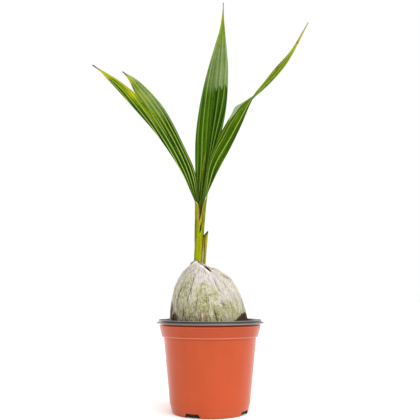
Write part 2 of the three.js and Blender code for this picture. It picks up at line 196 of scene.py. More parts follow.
# Leaf blades: their grid, the part that runs down into the stem, the rib's rod, the pleats and the edges
BLADE_ROWS = 190
HALF_COLUMNS = 65
ROOT_SHARE = 0.10
ROOT_HEIGHT = 372 * MM
ROOT_RADIUS = 7.0 * MM
FOOT_BEND = 14 * MM
BLADE_SHIFT = Vector((1.1 * MM, 0, 0))
SHIFT_REACH = 0.12
MARGIN_ROOM = 0.6 * MM
RIB_SET_BACK = 0.9
RIB_STEPS = 90
RIB_SIDES = 8
RIB_ROOT_STEPS = (1, 0.8, 0.6, 0.4, 0.2)
STEP_AHEAD = 0.02
NORMAL_STEP = 0.004
NERVE_LEVELS = (0.2, 0.5, 0.8)
FINE_FOLDS = [(4, 0.10), (9, 0.04)]
NERVE_RISE = 0.3 * MM
DEEPEST_PLEAT = 0.22
FOLDED_EDGE = 2.5 * MM
BLADE_THICKNESS = 0.7 * MM
BLADE_MAP_WIDTH = 30 * MM
THINNEST_EDGE = 0.3

# Colours, as linear red, green and blue
POT_COLOURS = {
    "deep": (0.490, 0.065, 0.010),
    "bright": (0.530, 0.073, 0.013),
    "drawn": (0.555, 0.086, 0.020),
    "speck": (0.33, 0.05, 0.02),
    "dust": (0.42, 0.12, 0.06),
}
LIP_COLOURS = {
    "dark": (0.085, 0.078, 0.074),
    "light": (0.13, 0.12, 0.115),
    # The groove's tone is painted shade, the bead's and the edge's are painted highlights, and the two
    # inside tones are painted shade
    "hollow": (0.03, 0.026, 0.024),
    "bead": (0.27, 0.25, 0.235),
    "edge": (0.25, 0.23, 0.22),
    "painted shade inside rim": (0.018, 0.014, 0.012),
    "inner wall": (0.022, 0.015, 0.012),
    "dirt": (0.05, 0.028, 0.018),
}
SOIL_COLOURS = {
    "damp": (0.012, 0.007, 0.004),
    "bark": (0.045, 0.026, 0.014),
    "grain": (0.10, 0.06, 0.032),
}
HUSK_COLOURS = {
    "skin": (0.59, 0.545, 0.44),
    "pale": (0.615, 0.545, 0.525),
    "cloud": (0.46, 0.42, 0.41),
    "algae": (0.40, 0.405, 0.145),
    "dark algae": (0.085, 0.095, 0.025),
    "grime": (0.085, 0.042, 0.022),
    "dark fibre": (0.14, 0.105, 0.07),
    "bleached fibre": (0.74, 0.70, 0.64),
    "fine fibre": (0.16, 0.13, 0.09),
    "dark speck": (0.095, 0.055, 0.028),
    "pale speck": (0.70, 0.68, 0.55),
    "stain": (0.022, 0.012, 0.008),
    "stained fibre": (0.12, 0.06, 0.032),
    "torn": (0.80, 0.76, 0.71),
    "tan": (0.30, 0.16, 0.085),
    # Painted shade in the grooves, the split and the stem's socket
    "groove": (0.030, 0.018, 0.012),
}
SHEATH_COLOURS = {
    "green": (0.075, 0.175, 0.001),
    "yellow": (0.37, 0.385, 0.001),
    "green line": (0.05, 0.12, 0.002),
    "yellow line": (0.20, 0.26, 0.002),
    "band": (0.06, 0.15, 0.001),
    "cloud": (0.46, 0.42, 0.002),
    "shadow": (0.028, 0.060, 0.001),
    "lesion": (0.022, 0.007, 0.004),
}
LEAF_COLOURS = {
    "dark": (0.017, 0.068, 0.0004),
    "light": (0.038, 0.112, 0.0008),
    "flush": (0.15, 0.26, 0.001),
    "yellow flush": (0.27, 0.36, 0.001),
    "gold": (0.50, 0.47, 0.001),
    # Painted shade in the pleats' folds and where the marks put shade
    "dark line": (0.018, 0.066, 0.0006),
    "painted_fold_shade": (0.006, 0.026, 0.0006),
    # A painted sheen, standing for the white room's reflection where a blade tilts up or bends back
    "painted_sheen": (0.36, 0.45, 0.20),
    "whitest painted sheen": (0.50, 0.58, 0.40),
    "pale line": (0.14, 0.27, 0.004),
    # The nerves' colour, also laid as a painted highlight along the pleats' ridges
    "nerve": (0.33, 0.46, 0.075),
    "margin": (0.14, 0.20, 0.012),
    "scorch": (0.25, 0.10, 0.022),
    "dry": (0.11, 0.075, 0.068),
    "pale dry": (0.25, 0.20, 0.18),
}


class SmoothCurve:
    """A centripetal curve through points in millimetres, read in metres by the share of its length."""

    STEPS = 40

    def __init__(self, points):
        knots = np.array(points, float) * MM
        knots = np.vstack([2 * knots[0] - knots[1], knots, 2 * knots[-1] - knots[-2]])
        places = [self.span(knots[i - 1:i + 3]) for i in range(1, len(knots) - 2)]
        self.places = np.vstack(places + [knots[-2:-1]])
        steps = np.linalg.norm(np.diff(self.places, axis=0), axis=1)
        self.length = steps.sum()
        self.shares = np.concatenate([[0], np.cumsum(steps)]) / self.length

    def span(self, knots):
        before, start, end, after = knots
        gap_before, gap, gap_after = np.linalg.norm(np.diff(knots, axis=0), axis=1) ** 0.5
        leave = (start - before) / gap_before - (end - before) / (gap_before + gap) + (end - start) / gap
        arrive = (end - start) / gap - (after - start) / (gap + gap_after) + (after - end) / gap_after
        t = np.linspace(0, 1, self.STEPS, endpoint=False)[:, None]
        return (
            (2 * t**3 - 3 * t**2 + 1) * start + (t**3 - 2 * t**2 + t) * leave * gap
            + (3 * t**2 - 2 * t**3) * end + (t**3 - t**2) * arrive * gap
        )

    def at(self, share):
        return np.stack([np.interp(share, self.shares, self.places[:, k]) for k in range(3)], -1)


def smooth_step(value, low, high):
    t = np.clip((value - low) / (high - low), 0, 1)
    return t * t * (3 - 2 * t)


def fade_out(value, low, high):
    """1 below low, 0 above high, and smooth between."""
    return 1 - smooth_step(value, low, high)


def patch(across, along, middle, reach):
    """A soft oval spot on a surface with two coordinates, 1 at its middle and 0 past its reach."""
    away = np.hypot((across - middle[0]) / reach[0], (along - middle[1]) / reach[1])
    return fade_out(away, 0.45, 1)


def spots_on(across, along, rows):
    """Soft oval spots added up, each a strength, a middle and its reach."""
    total = np.zeros(across.shape)
    for strength, middle, reach in rows:
        total += strength * patch(across, along, middle, reach)
    return total


def strongest_spot(across, along, rows):
    """The strongest of soft oval spots, each a middle and its reach."""
    total = np.zeros(across.shape)
    for middle, reach in rows:
        total = np.maximum(total, patch(across, along, middle, reach))
    return total


def bell(value, middle, reach):
    """1 at the middle, falling off smoothly to both sides."""
    return np.exp(-((value - middle) / reach) ** 2)


# Modelling helpers


def start_piece():
    """Nothing else may be selected when a primitive is added and shaped."""
    bpy.ops.object.select_all(action="DESELECT")


def name_piece(name):
    piece = bpy.context.active_object
    piece.name = name
    piece.data.name = name
    return piece


def pick(piece):
    start_piece()
    piece.select_set(True)
    bpy.context.view_layer.objects.active = piece


def settle(piece):
    """Puts the object at the origin, unturned and unscaled, with its place in its mesh."""
    pick(piece)
    bpy.ops.object.transform_apply(location=True, rotation=True, scale=True)


def edit(piece, selection="SELECT"):
    """Opens the piece for editing, with all of it selected, or none of it."""
    pick(piece)
    bpy.ops.object.mode_set(mode="EDIT")
    bpy.ops.mesh.select_all(action=selection)


def stop_editing():
    bpy.ops.object.mode_set(mode="OBJECT")


def face_outwards(piece):
    edit(piece)
    bpy.ops.mesh.normals_make_consistent(inside=False)
    stop_editing()


def smooth(piece, sharp_angle):
    pick(piece)
    bpy.ops.object.shade_smooth_by_angle(angle=math.radians(sharp_angle))


def apply_modifier(piece, modifier):
    pick(piece)
    bpy.ops.object.modifier_apply(modifier=modifier.name)


def vertex_places(piece):
    places = np.empty(len(piece.data.vertices) * 3)
    piece.data.vertices.foreach_get("co", places)
    return places.reshape(-1, 3)


def move_vertices(piece, places):
    piece.data.vertices.foreach_set("co", np.asarray(places, float).ravel())
    piece.data.update()


def store(piece, **masks):
    """Keeps numbers for each vertex under their names, for the finish to read."""
    for name, values in masks.items():
        numbers = np.broadcast_to(np.asarray(values, np.float32), len(piece.data.vertices))
        attribute = piece.data.attributes.new(name, "FLOAT", "POINT")
        attribute.data.foreach_set("value", np.ascontiguousarray(numbers))


def store_places(piece, name, places):
    """Keeps one place for each vertex, for the finish's noises to read."""
    attribute = piece.data.attributes.new(name, "FLOAT_VECTOR", "POINT")
    attribute.data.foreach_set("vector", np.asarray(places, np.float32).ravel())


def grow_rings(rings, radius, level):
    """Extrudes the selected face through rings of radius and height, in millimetres."""
    for ring_radius, ring_height in rings:
        rise = ring_height * MM - level
        factor = ring_radius * MM / radius
        radius = ring_radius * MM
        level = ring_height * MM
        bpy.ops.mesh.extrude_region_move(TRANSFORM_OT_translate={"value": (0, 0, rise)})
        bpy.ops.transform.resize(value=(factor, factor, 1), center_override=(0, 0, level))


def turned_body(name, sides, first_radius, first_height, rings):
    """A closed body of revolution, begun as a disc and grown ring by ring."""
    start_piece()
    bpy.ops.mesh.primitive_circle_add(
        vertices=sides, radius=first_radius, fill_type="NGON", location=(0, 0, first_height)
    )
    piece = name_piece(name)
    settle(piece)
    edit(piece)
    grow_rings(rings, first_radius, first_height)
    stop_editing()
    return piece


def thicken(piece, thickness, weights):
    """Gives a sheet its thickness, to both sides alike, thinner where its weights say so."""
    group = piece.vertex_groups.new(name="thickness")
    for index, weight in enumerate(weights):
        group.add([index], float(weight), "REPLACE")
    modifier = piece.modifiers.new("thickness", "SOLIDIFY")
    modifier.thickness = thickness
    modifier.offset = 0
    modifier.vertex_group = group.name
    modifier.thickness_vertex_group = THINNEST_EDGE
    apply_modifier(piece, modifier)
    piece.vertex_groups.clear()


def sheet_primitive(name, columns, rows):
    """A flat grid, and the share across and along it of each of its vertices."""
    start_piece()
    bpy.ops.mesh.primitive_grid_add(x_subdivisions=columns, y_subdivisions=rows, size=1)
    piece = name_piece(name)
    places = vertex_places(piece)
    return piece, places[:, 0] + 0.5, places[:, 1] + 0.5


def join(pieces, name):
    start_piece()
    for piece in pieces:
        piece.select_set(True)
    bpy.context.view_layer.objects.active = pieces[0]
    bpy.ops.object.join()
    return name_piece(name)


def from_arrays(name, vertices, faces, finishes, finish_numbers=None):
    """Many small things as one mesh."""
    mesh = bpy.data.meshes.new(name)
    mesh.from_pydata([tuple(vertex) for vertex in vertices], [], faces)
    piece = bpy.data.objects.new(name, mesh)
    bpy.context.scene.collection.objects.link(piece)
    for finish in finishes:
        mesh.materials.append(finish)
    if finish_numbers is not None:
        mesh.polygons.foreach_set("material_index", np.asarray(finish_numbers, np.int32))
    mesh.update()
    return piece


def finished(piece, finish, sharp_angle):
    """The piece in its one finish, with faces that meet flatter than the angle shaded as one."""
    piece.data.materials.append(finish)
    smooth(piece, sharp_angle)
    return piece


# Finishes: shader maths as expressions


def operator_pair(operation):
    """One of Python's operators on a Value, and its reflected form, such as the one in 1 - mask."""

    def plain(value, other):
        return value.finish.maths(operation, value, other)

    def reflected(value, other):
        return value.finish.maths(operation, other, value)

    return plain, reflected


class Value:
    """A number that varies over a surface. Python's operators on it add Math nodes."""

    def __init__(self, finish, socket):
        self.finish = finish
        self.socket = socket

    __add__, __radd__ = operator_pair("ADD")
    __sub__, __rsub__ = operator_pair("SUBTRACT")
    __mul__, __rmul__ = operator_pair("MULTIPLY")
    __pow__, __rpow__ = operator_pair("POWER")

    def between(self, low, high):
        """0 below low, 1 above high, and smooth between."""
        sockets = {"Value": self, "From Min": low, "From Max": high}
        made = self.finish.node("ShaderNodeMapRange", sockets, interpolation_type="SMOOTHSTEP")
        return Value(self.finish, made)

    def band(self, low, high, below=0.4, above=0.4):
        """1 from low to high, fading out over what lies below and above, all in millimetres."""
        begun = self.between((low - below) * MM, low * MM)
        return begun * (1 - self.between(high * MM, (high + above) * MM))


class Finish:
    """A material under construction."""

    def __init__(self, name, roughness, gloss=0.5):
        self.material = bpy.data.materials.new(name)
        self.material.use_nodes = True
        self.tree = self.material.node_tree
        self.shader = self.tree.nodes["Principled BSDF"]
        self.shader.inputs["Roughness"].default_value = roughness
        self.shader.inputs["Specular IOR Level"].default_value = gloss
        self.place = self.node("ShaderNodeTexCoord", {}, "Object")

    def put(self, socket, value):
        value = value.socket if isinstance(value, Value) else value
        if isinstance(value, bpy.types.NodeSocket):
            self.tree.links.new(value, socket)
        elif isinstance(value, tuple) and socket.type == "RGBA":
            socket.default_value = (*value, 1)
        else:
            socket.default_value = value

    def node(self, kind, sockets, output=0, **settings):
        made = self.tree.nodes.new(kind)
        for name, setting in settings.items():
            setattr(made, name, setting)
        for key, value in sockets.items():
            self.put(made.inputs[key], value)
        return made.outputs[output]

    def maths(self, operation, *operands):
        socket = self.node("ShaderNodeMath", dict(enumerate(operands)), operation=operation)
        return Value(self, socket)

    def stored(self, *names):
        """The numbers that the piece keeps for its vertices under these names."""
        sockets = [self.node("ShaderNodeAttribute", {}, "Fac", attribute_name=name) for name in names]
        return [Value(self, socket) for socket in sockets]

    def stretched(self, scale, place=None):
        sockets = {0: place or self.place, 1: scale}
        return self.node("ShaderNodeVectorMath", sockets, operation="MULTIPLY")

    def noise(self, place, scale, detail=3.0, roughness=0.55, distortion=0.0):
        sockets = {
            "Vector": place, "Scale": scale, "Detail": detail,
            "Roughness": roughness, "Distortion": distortion,
        }
        return Value(self, self.node("ShaderNodeTexNoise", sockets))

    def mix(self, share, first, second):
        sockets = {0: share, 6: first, 7: second}
        return self.node("ShaderNodeMix", sockets, 2, data_type="RGBA")

    def parts(self):
        """The surface's x, y and height."""
        made = [self.node("ShaderNodeSeparateXYZ", {0: self.place}, axis) for axis in "XYZ"]
        return [Value(self, socket) for socket in made]

    def paint(self, tone, *layers):
        """The surface's colour, with more colours laid over it one by one, each by its share."""
        for share, colour in layers:
            tone = self.mix(share, tone, colour)
        self.put(self.shader.inputs["Base Color"], tone)

    def roughness(self, value):
        self.put(self.shader.inputs["Roughness"], value)

    def relief(self, height, depth, strength):
        sockets = {"Height": height, "Distance": depth, "Strength": strength}
        self.put(self.shader.inputs["Normal"], self.node("ShaderNodeBump", sockets))


def terracotta_finish():
    finish = Finish("terracotta plastic", 0.38, 0.3)
    tint = POT_COLOURS
    height = finish.parts()[2]
    cloud = finish.noise(finish.place, 9, 2)
    drawn = finish.noise(finish.stretched((60.0, 60.0, 9.0)), 1, 3)
    speck = finish.noise(finish.place, 420, 2)
    dust = (1 - height.between(0, DUST_HEIGHT)) * cloud.between(0.35, 0.7)
    finish.paint(
        finish.mix(cloud.between(0.3, 0.7), tint["deep"], tint["bright"]),
        (drawn.between(0.35, 0.75) * 0.3, tint["drawn"]),
        (speck.between(0.68, 0.76) * 0.25, tint["speck"]),
        (dust * 0.25, tint["dust"]),
        # Bands of painted highlight and painted shade round the pot, each in its own colour
        *[(height.band(low, high) * share, worn) for low, high, share, worn in POT_PAINTED_LIGHT_BANDS],
    )
    finish.roughness(0.22 + cloud * 0.12 + speck * 0.05)
    finish.relief(drawn * 0.6 + speck * 0.4, 0.12 * MM, 0.5)
    return finish.material


def black_finish():
    """The lip's black rim, with painted highlights on its bead and its edge and painted shade in its groove,
    and painted shade inside the pot.
    """
    finish = Finish("black plastic", 0.4)
    tint = LIP_COLOURS
    cloud = finish.noise(finish.place, 30, 3)
    speck = finish.noise(finish.place, 520, 2)
    x, y, height = finish.parts()
    radius = (x * x + y * y) ** 0.5
    dirt = (1 - height.between(160 * MM, 170 * MM)) * cloud.between(0.3, 0.7)
    finish.paint(
        finish.mix(cloud.between(0.3, 0.7), tint["dark"], tint["light"]),
        # Painted shade in the lip's groove, painted highlights on the bead and the flange's edge, and
        # painted shade inside the pot
        (height.band(172.4, 174.4, above=0.6) * 0.75, tint["hollow"]),
        (height.between(174.8 * MM, 176 * MM) * 0.6, tint["bead"]),
        ((1 - radius.between(96.8 * MM, 98.5 * MM)) * 0.85, tint["painted shade inside rim"]),
        (height.band(170.0, 171.2, 1.0, 0.7) * 0.6, tint["edge"]),
        (1 - height.between(168.5 * MM, 169.2 * MM), tint["inner wall"]),
        (dirt * 0.4, tint["dirt"]),
    )
    finish.roughness(0.26 + cloud * 0.12 + speck * 0.06)
    finish.relief(speck, 0.1 * MM, 0.5)
    return finish.material


def soil_finish():
    finish = Finish("potting mix", 0.95, 0.2)
    tint = SOIL_COLOURS
    lumps = finish.noise(finish.place, 160, 4, 0.65)
    grains = finish.noise(finish.place, 620, 3, 0.6)
    finish.paint(
        finish.mix(lumps.between(0.35, 0.65), tint["damp"], tint["bark"]),
        (grains.between(0.62, 0.72) * 0.5, tint["grain"]),
    )
    finish.relief(lumps * 0.7 + grains * 0.3, 1.2 * MM, 0.9)
    return finish.material


def crumb_finish(name, dark, light):
    finish = Finish(name, 0.9, 0.2)
    grain = finish.noise(finish.stretched((1.0, 1.0, 2.4)), 480, 3, 0.6)
    finish.paint(finish.mix(grain.between(0.3, 0.7), dark, light))
    finish.relief(grain, 0.3 * MM, 0.7)
    return finish.material


def husk_finish():
    """Grey-buff fibres with green algae, brown grime, stains that are partly painted shade low on the left,
    and pale torn lips; the grooves, the split and the socket are darkened with painted shade.
    """
    finish = Finish("weathered husk", 0.88, 0.15)
    tint = HUSK_COLOURS
    algae, groove, stain, torn, pale, grime, tan = finish.stored(
        "algae", "groove", "stain", "torn", "pale", "grime", "tan"
    )
    grain = finish.node("ShaderNodeAttribute", {}, "Vector", attribute_name="grain")
    fibres = finish.noise(grain, 30, 4, 0.62, 0.5)
    fine = finish.noise(grain, 75, 3, 0.6)
    mottle = finish.noise(finish.place, 230, 5, 0.75)
    cloud = finish.noise(finish.place, 55, 3, 0.6)
    speck = finish.noise(finish.place, 340, 3, 0.6)
    stained = finish.mix(fine.between(0.4, 0.7), tint["stain"], tint["stained fibre"])
    finish.paint(
        finish.mix(pale, tint["skin"], tint["pale"]),
        (cloud.between(0.45, 0.65) * 0.5, tint["cloud"]),
        (algae * mottle.between(0.25, 0.5), tint["algae"]),
        (algae * mottle.between(0.53, 0.60) * 0.85, tint["dark algae"]),
        (grime * mottle.between(0.49, 0.42) * 0.9, tint["grime"]),
        (fibres.between(0.57, 0.62) * (0.5 + algae * 0.3), tint["dark fibre"]),
        (fibres.between(0.42, 0.34) * 0.45, tint["bleached fibre"]),
        (fine.between(0.58, 0.68) * 0.5, tint["fine fibre"]),
        (speck.between(0.57, 0.66) * (0.15 + algae * 0.5), tint["dark speck"]),
        (speck.between(0.43, 0.35) * (0.1 + algae * 0.45), tint["pale speck"]),
        (stain, stained),
        (torn * 0.9, tint["torn"]),
        (tan * fibres.between(0.44, 0.58), tint["tan"]),
        (groove, tint["groove"]),
    )
    finish.relief(fibres * 0.5 + fine * 0.3 + mottle * 0.2, 1.2 * MM, 0.9)
    return finish.material


def fibre_finish(name, dark, light):
    finish = Finish(name, 0.85)
    grain = finish.noise(finish.place, 300, 3)
    finish.paint(finish.mix(grain.between(0.35, 0.65), dark, light))
    finish.relief(grain, 0.1 * MM, 0.6)
    return finish.material


def sheath_finish(name, edge, dried):
    """Smooth yellow-green sheath. Its edge and its dried parts take the two colours."""
    finish = Finish(name, 0.5, 0.03)
    tint = SHEATH_COLOURS
    margin, flush, shadow, lesion, papery = finish.stored("margin", "flush", "shadow", "lesion", "papery")
    lines = finish.noise(finish.stretched((900.0, 900.0, 22.0)), 1, 3, 0.6)
    bands = finish.noise(finish.stretched((420.0, 420.0, 9.0)), 1, 2, 0.5)
    cloud = finish.noise(finish.place, 70, 2)
    line_tone = finish.mix(flush, tint["green line"], tint["yellow line"])
    finish.paint(
        finish.mix(flush, tint["green"], tint["yellow"]),
        (lines.between(0.4, 0.65) * 0.55, line_tone),
        (bands.between(0.48, 0.62) * 0.5, tint["band"]),
        (cloud.between(0.45, 0.7) * 0.35, tint["cloud"]),
        (shadow, tint["shadow"]),
        (margin * (0.7 + lines * 0.4), edge),
        (papery, dried),
        (lesion, tint["lesion"]),
    )
    finish.roughness(0.5 + lines * 0.2 + papery * 0.2)
    finish.relief(lines, 0.25 * MM, 0.6)
    return finish.material


def leaf_finish():
    """Deep green, yellower where it is flushed, with pale nerves that are partly a painted highlight on the
    ridges, painted shade in the folds, a whitish painted sheen and dry tips.
    """
    finish = Finish("pleated leaf", 0.42, 0.03)
    tint = LEAF_COLOURS
    nerve, painted_fold_shade, margin, flush, painted_sheen, scorch, dry = finish.stored(
        "nerve", "painted_fold_shade", "margin", "flush", "painted_sheen", "scorch", "dry"
    )
    blade = finish.node("ShaderNodeUVMap", {}, uv_map="blade")
    lines = finish.noise(finish.stretched((1.0, 0.03, 1.0), blade), 480, 3, 0.6)
    broad = finish.noise(finish.stretched((1.0, 0.10, 1.0), blade), 190, 3, 0.6)
    cloud = finish.noise(finish.place, 45, 3)
    flushed = finish.mix(cloud.between(0.3, 0.7), tint["flush"], tint["yellow flush"])
    sheen = finish.mix(painted_sheen.between(0.8, 1.0), tint["painted_sheen"], tint["whitest painted sheen"])
    dried = finish.mix(cloud.between(0.4, 0.6), tint["dry"], tint["pale dry"])
    finish.paint(
        finish.mix(broad.between(0.3, 0.7), tint["dark"], tint["light"]),
        (flush.between(0, 0.7), flushed),
        (flush.between(0.65, 1.0), tint["gold"]),
        (lines.between(0.46, 0.36) * 0.5, tint["dark line"]),
        (painted_fold_shade * (1 - flush * 0.5) * 0.9, tint["painted_fold_shade"]),
        (painted_sheen * (0.35 + cloud * 0.5), sheen),
        (lines.between(0.54, 0.66) * (0.24 + flush * 0.2), tint["pale line"]),
        (nerve * (1 - flush * 0.6), tint["nerve"]),
        (margin * 0.45, tint["margin"]),
        (scorch, tint["scorch"]),
        (dry, dried),
    )
    finish.roughness(0.34 + lines * 0.14 + painted_sheen * 0.12 + dry * 0.35)
    finish.relief(lines * 0.5 + broad * 0.5, 0.22 * MM, 0.7)
    return finish.material


def floor_finish():
    finish = Finish("pale floor", 0.7)
    finish.shader.inputs["Emission Color"].default_value = (1, 1, 1, 1)
    finish.shader.inputs["Emission Strength"].default_value = FLOOR_GLOW
    cloud = finish.noise(finish.place, 3, 2)
    finish.paint(finish.mix(cloud, (0.93, 0.93, 0.93), (0.95, 0.95, 0.95)))
    return finish.material


TERRACOTTA = terracotta_finish()
BLACK = black_finish()
SOIL = soil_finish()
CRUMBS = [
    crumb_finish("dark bark", (0.010, 0.006, 0.004), (0.030, 0.017, 0.010)),
    crumb_finish("brown bark", (0.030, 0.015, 0.008), (0.080, 0.042, 0.022)),
    crumb_finish("coir crumb", (0.060, 0.033, 0.017), (0.130, 0.078, 0.042)),
]
HUSK = husk_finish()
HUSK_FIBRES = fibre_finish("husk fibre", (0.05, 0.024, 0.012), (0.27, 0.16, 0.085))
SHEATH = sheath_finish("leaf sheath", (0.40, 0.17, 0.08), (0.72, 0.68, 0.38))
# The scale leaf's edge colour lays a painted shadow line inside its lilac edge as well as its brown upper
# edge
SCALE = sheath_finish("dry scale leaf", (0.15, 0.035, 0.012), (0.54, 0.35, 0.35))
LEAF = leaf_finish()
FLOOR = floor_finish()


# Pot


def notch_cutter(from_front):
    """A block that is wider at its foot, reaching through the wall at an angle from the front."""
    depth = NOTCH_OUTER - NOTCH_INNER
    middle = -(NOTCH_OUTER + NOTCH_INNER) / 2
    narrower = NOTCH_TOP_WIDTH / NOTCH_FOOT_WIDTH
    start_piece()
    bpy.ops.mesh.primitive_cube_add(
        size=1, location=(0, middle, 0), scale=(NOTCH_FOOT_WIDTH, depth, 2 * NOTCH_HEIGHT)
    )
    cutter = name_piece("notch_cutter")
    settle(cutter)
    edit(cutter, "DESELECT")
    stop_editing()
    for vertex in cutter.data.vertices:
        vertex.select = vertex.co.z > 0
    bpy.ops.object.mode_set(mode="EDIT")
    bpy.ops.transform.resize(value=(narrower, 1, 1), center_override=(0, middle, NOTCH_HEIGHT))
    stop_editing()
    cutter.data.transform(Matrix.Rotation(math.radians(from_front), 4, "Z"))
    return cutter


def cut(piece, cutter):
    modifier = piece.modifiers.new("cut", "BOOLEAN")
    modifier.operation = "DIFFERENCE"
    modifier.solver = "EXACT"
    modifier.object = cutter
    apply_modifier(piece, modifier)
    bpy.data.objects.remove(cutter)


def wall_radius(height):
    """The outer wall's radius below the lip."""
    rings = FOOT_RINGS[1:] + BAND_RINGS + LEDGE_RINGS + BEAD_RINGS
    heights = [ring[1] * MM for ring in rings]
    radii = [ring[0] * MM for ring in rings]
    return float(np.interp(height, heights, radii))


def is_black(centre):
    """Whether a face belongs to the lip or to the inside of the wall."""
    radius = math.hypot(centre.x, centre.y)
    if centre.z > LIP_UNDERSIDE:
        return radius > LIP_BLACK_FROM or centre.z > LIP_UNDERSIDE + BLACK_CLEARANCE
    inside = radius < wall_radius(centre.z) - INNER_FACE_DEPTH
    return inside and centre.z > UNDERSIDE_RECESS + BLACK_CLEARANCE


def make_pot():
    rings = FOOT_RINGS + BAND_RINGS + LEDGE_RINGS + BEAD_RINGS + LIP_RINGS + INNER_RINGS
    pot = turned_body("nursery_pot", POT_SIDES, UNDERSIDE_RADIUS, UNDERSIDE_RECESS, rings)
    face_outwards(pot)
    for number in range(NOTCHES):
        cut(pot, notch_cutter(FIRST_NOTCH + number * 360 / NOTCHES))
    pot.data.materials.clear()
    pot.data.materials.append(TERRACOTTA)
    pot.data.materials.append(BLACK)
    for face in pot.data.polygons:
        face.material_index = int(is_black(face.center))
    smooth(pot, 35)
    return pot


# Soil


def make_soil():
    soil = turned_body("soil_bed", SOIL_SIDES, SOIL_FLOOR_RADIUS, SOIL_FLOOR_HEIGHT, SOIL_RINGS)
    pick(soil)
    bpy.ops.object.mode_set(mode="EDIT")
    for _ in range(SOIL_INSETS):
        bpy.ops.mesh.inset(thickness=SOIL_INSET)
    bpy.ops.mesh.poke()
    stop_editing()
    face_outwards(soil)
    places = vertex_places(soil)
    for place in places:
        if place[2] > SOIL_LEVEL - 1.5 * MM:
            place[2] += soil_relief(place[0], place[1])
    move_vertices(soil, places)
    return finished(soil, SOIL, 60)


def soil_relief(x, y):
    """How far the soil's lumps and grains rise above its level."""
    spot = Vector((x, y, 0))
    lumps = noise.fractal(spot * 60, 1.0, 2.0, 4)
    grains = noise.fractal(spot * 260, 0.9, 2.0, 3)
    inside = fade_out(math.hypot(x, y), SOIL_OUTER - SOIL_EDGE, SOIL_OUTER)
    return float(inside) * (SOIL_LUMPS * lumps + SOIL_GRAINS * grains + SOIL_SWELL)


def soil_spots(count):
    """Places on the soil between the husk and the pot's wall."""
    spots = []
    while len(spots) < count:
        around = dice.uniform(0, 2 * math.pi)
        radius = SOIL_OUTER * math.sqrt(dice.uniform(0.45, 1.0))
        x = radius * math.sin(around)
        y = -radius * math.cos(around)
        if math.hypot(x / HUSK_RADIUS, y / (HUSK_RADIUS * 0.96)) > 0.97:
            spots.append((x, y))
    return spots


BOX_FOOT = [(-1, -1), (1, -1), (1, 1), (-1, 1)]
BOX_CORNERS = [(x, y, z) for z in (-1, 1) for x, y in BOX_FOOT]
BOX_FACES = [(0, 3, 2, 1), (4, 5, 6, 7), (0, 1, 5, 4), (1, 2, 6, 5), (2, 3, 7, 6), (3, 0, 4, 7)]


def random_turn(most_tilt):
    """Any way round, and tilted a little both ways."""
    turn = Matrix.Rotation(dice.uniform(0, 2 * math.pi), 3, "Z")
    for axis in "XY":
        turn = turn @ Matrix.Rotation(dice.uniform(-most_tilt, most_tilt), 3, axis)
    return turn


def make_chips():
    """Chips of bark and coir, each an uneven little block."""
    vertices = []
    faces = []
    finish_numbers = []
    for x, y in soil_spots(CHIPS):
        length = dice.uniform(*CHIP_LENGTH) * dice.uniform(0.4, 1.0) * MM
        size = (length / 2, length * dice.uniform(0.25, 0.7) / 2, length * dice.uniform(0.12, 0.4) / 2)
        turn = random_turn(CHIP_TILT)
        middle = Vector((x, y, SOIL_LEVEL + soil_relief(x, y) + size[2] * 0.6))
        first = len(vertices)
        for corner in BOX_CORNERS:
            uneven = [corner[k] * size[k] * dice.uniform(0.55, 1.0) for k in range(3)]
            vertices.append(middle + turn @ Vector(uneven))
        faces += [tuple(first + i for i in face) for face in BOX_FACES]
        finish_numbers += dice.choices((0, 1, 2), (5, 4, 1.4)) * len(BOX_FACES)
    return from_arrays("bark_chips", vertices, faces, CRUMBS, finish_numbers)


def add_strand(vertices, faces, places, radii, sides=4):
    """One tapering strand of a few sides through places."""
    first = len(vertices)
    for i, place in enumerate(places):
        ahead = places[min(i + 1, len(places) - 1)] - places[max(i - 1, 0)]
        over = ahead.orthogonal().normalized()
        beside = ahead.cross(over).normalized()
        for k in range(sides):
            angle = 2 * math.pi * k / sides
            vertices.append(place + (over * math.cos(angle) + beside * math.sin(angle)) * radii[i])
    for i in range(len(places) - 1):
        for k in range(sides):
            a = first + i * sides + k
            b = first + i * sides + (k + 1) % sides
            faces.append((a, b, b + sides, a + sides))
    last = first + (len(places) - 1) * sides
    faces.append(tuple(range(first + sides - 1, first - 1, -1)))
    faces.append(tuple(range(last, last + sides)))


def make_soil_strands():
    """Short bent strands of coir that lie on the soil, each ending where it would meet the pot."""
    vertices = []
    faces = []
    for x, y in soil_spots(STRANDS_IN_SOIL):
        step = dice.uniform(*STRAND_LENGTH) * MM / STRAND_STEPS
        heading = dice.uniform(0, 2 * math.pi)
        bend = dice.uniform(-1.2, 1.2) / STRAND_STEPS
        place = Vector((x, y, SOIL_LEVEL + soil_relief(x, y) + STRAND_REST))
        places = [place]
        for _ in range(STRAND_STEPS):
            heading += bend
            place = place + Vector((math.cos(heading), math.sin(heading), dice.uniform(-0.1, 0.22))) * step
            if math.hypot(place.x, place.y) > SOIL_OUTER:
                break
            places.append(place)
        if len(places) > 2:
            add_strand(vertices, faces, places, [STRAND_RADIUS] * len(places))
    return from_arrays("coir_strands", vertices, faces, CRUMBS[1:2])


# Husk


def husk_surface(around, up):
    """The egg's surface at an angle from the front and a latitude, in radians."""
    level = HUSK_RADIUS * np.cos(up)
    rise = np.where(up > 0, HUSK_ABOVE, HUSK_BELOW) * np.sin(up)
    ridge = 1 + HUSK_RIDGE * np.cos(3 * around)
    tip_bend = HUSK_TIP_BEND * np.clip(rise / HUSK_ABOVE, 0, 1) ** 6
    x = level * np.sin(around) * ridge + HUSK_MIDDLE.x - HUSK_LEAN * rise - tip_bend
    y = -level * np.cos(around) * ridge * HUSK_DEPTH_RATIO
    away = ((x - FLAP_PLACE[0]) ** 2 + (y - FLAP_PLACE[1]) ** 2) / FLAP_SPREAD**2
    flap = np.where(up > 0, FLAP_RISE * np.exp(-away), 0)
    return np.stack([x, y, rise + HUSK_MIDDLE.z + flap], -1)


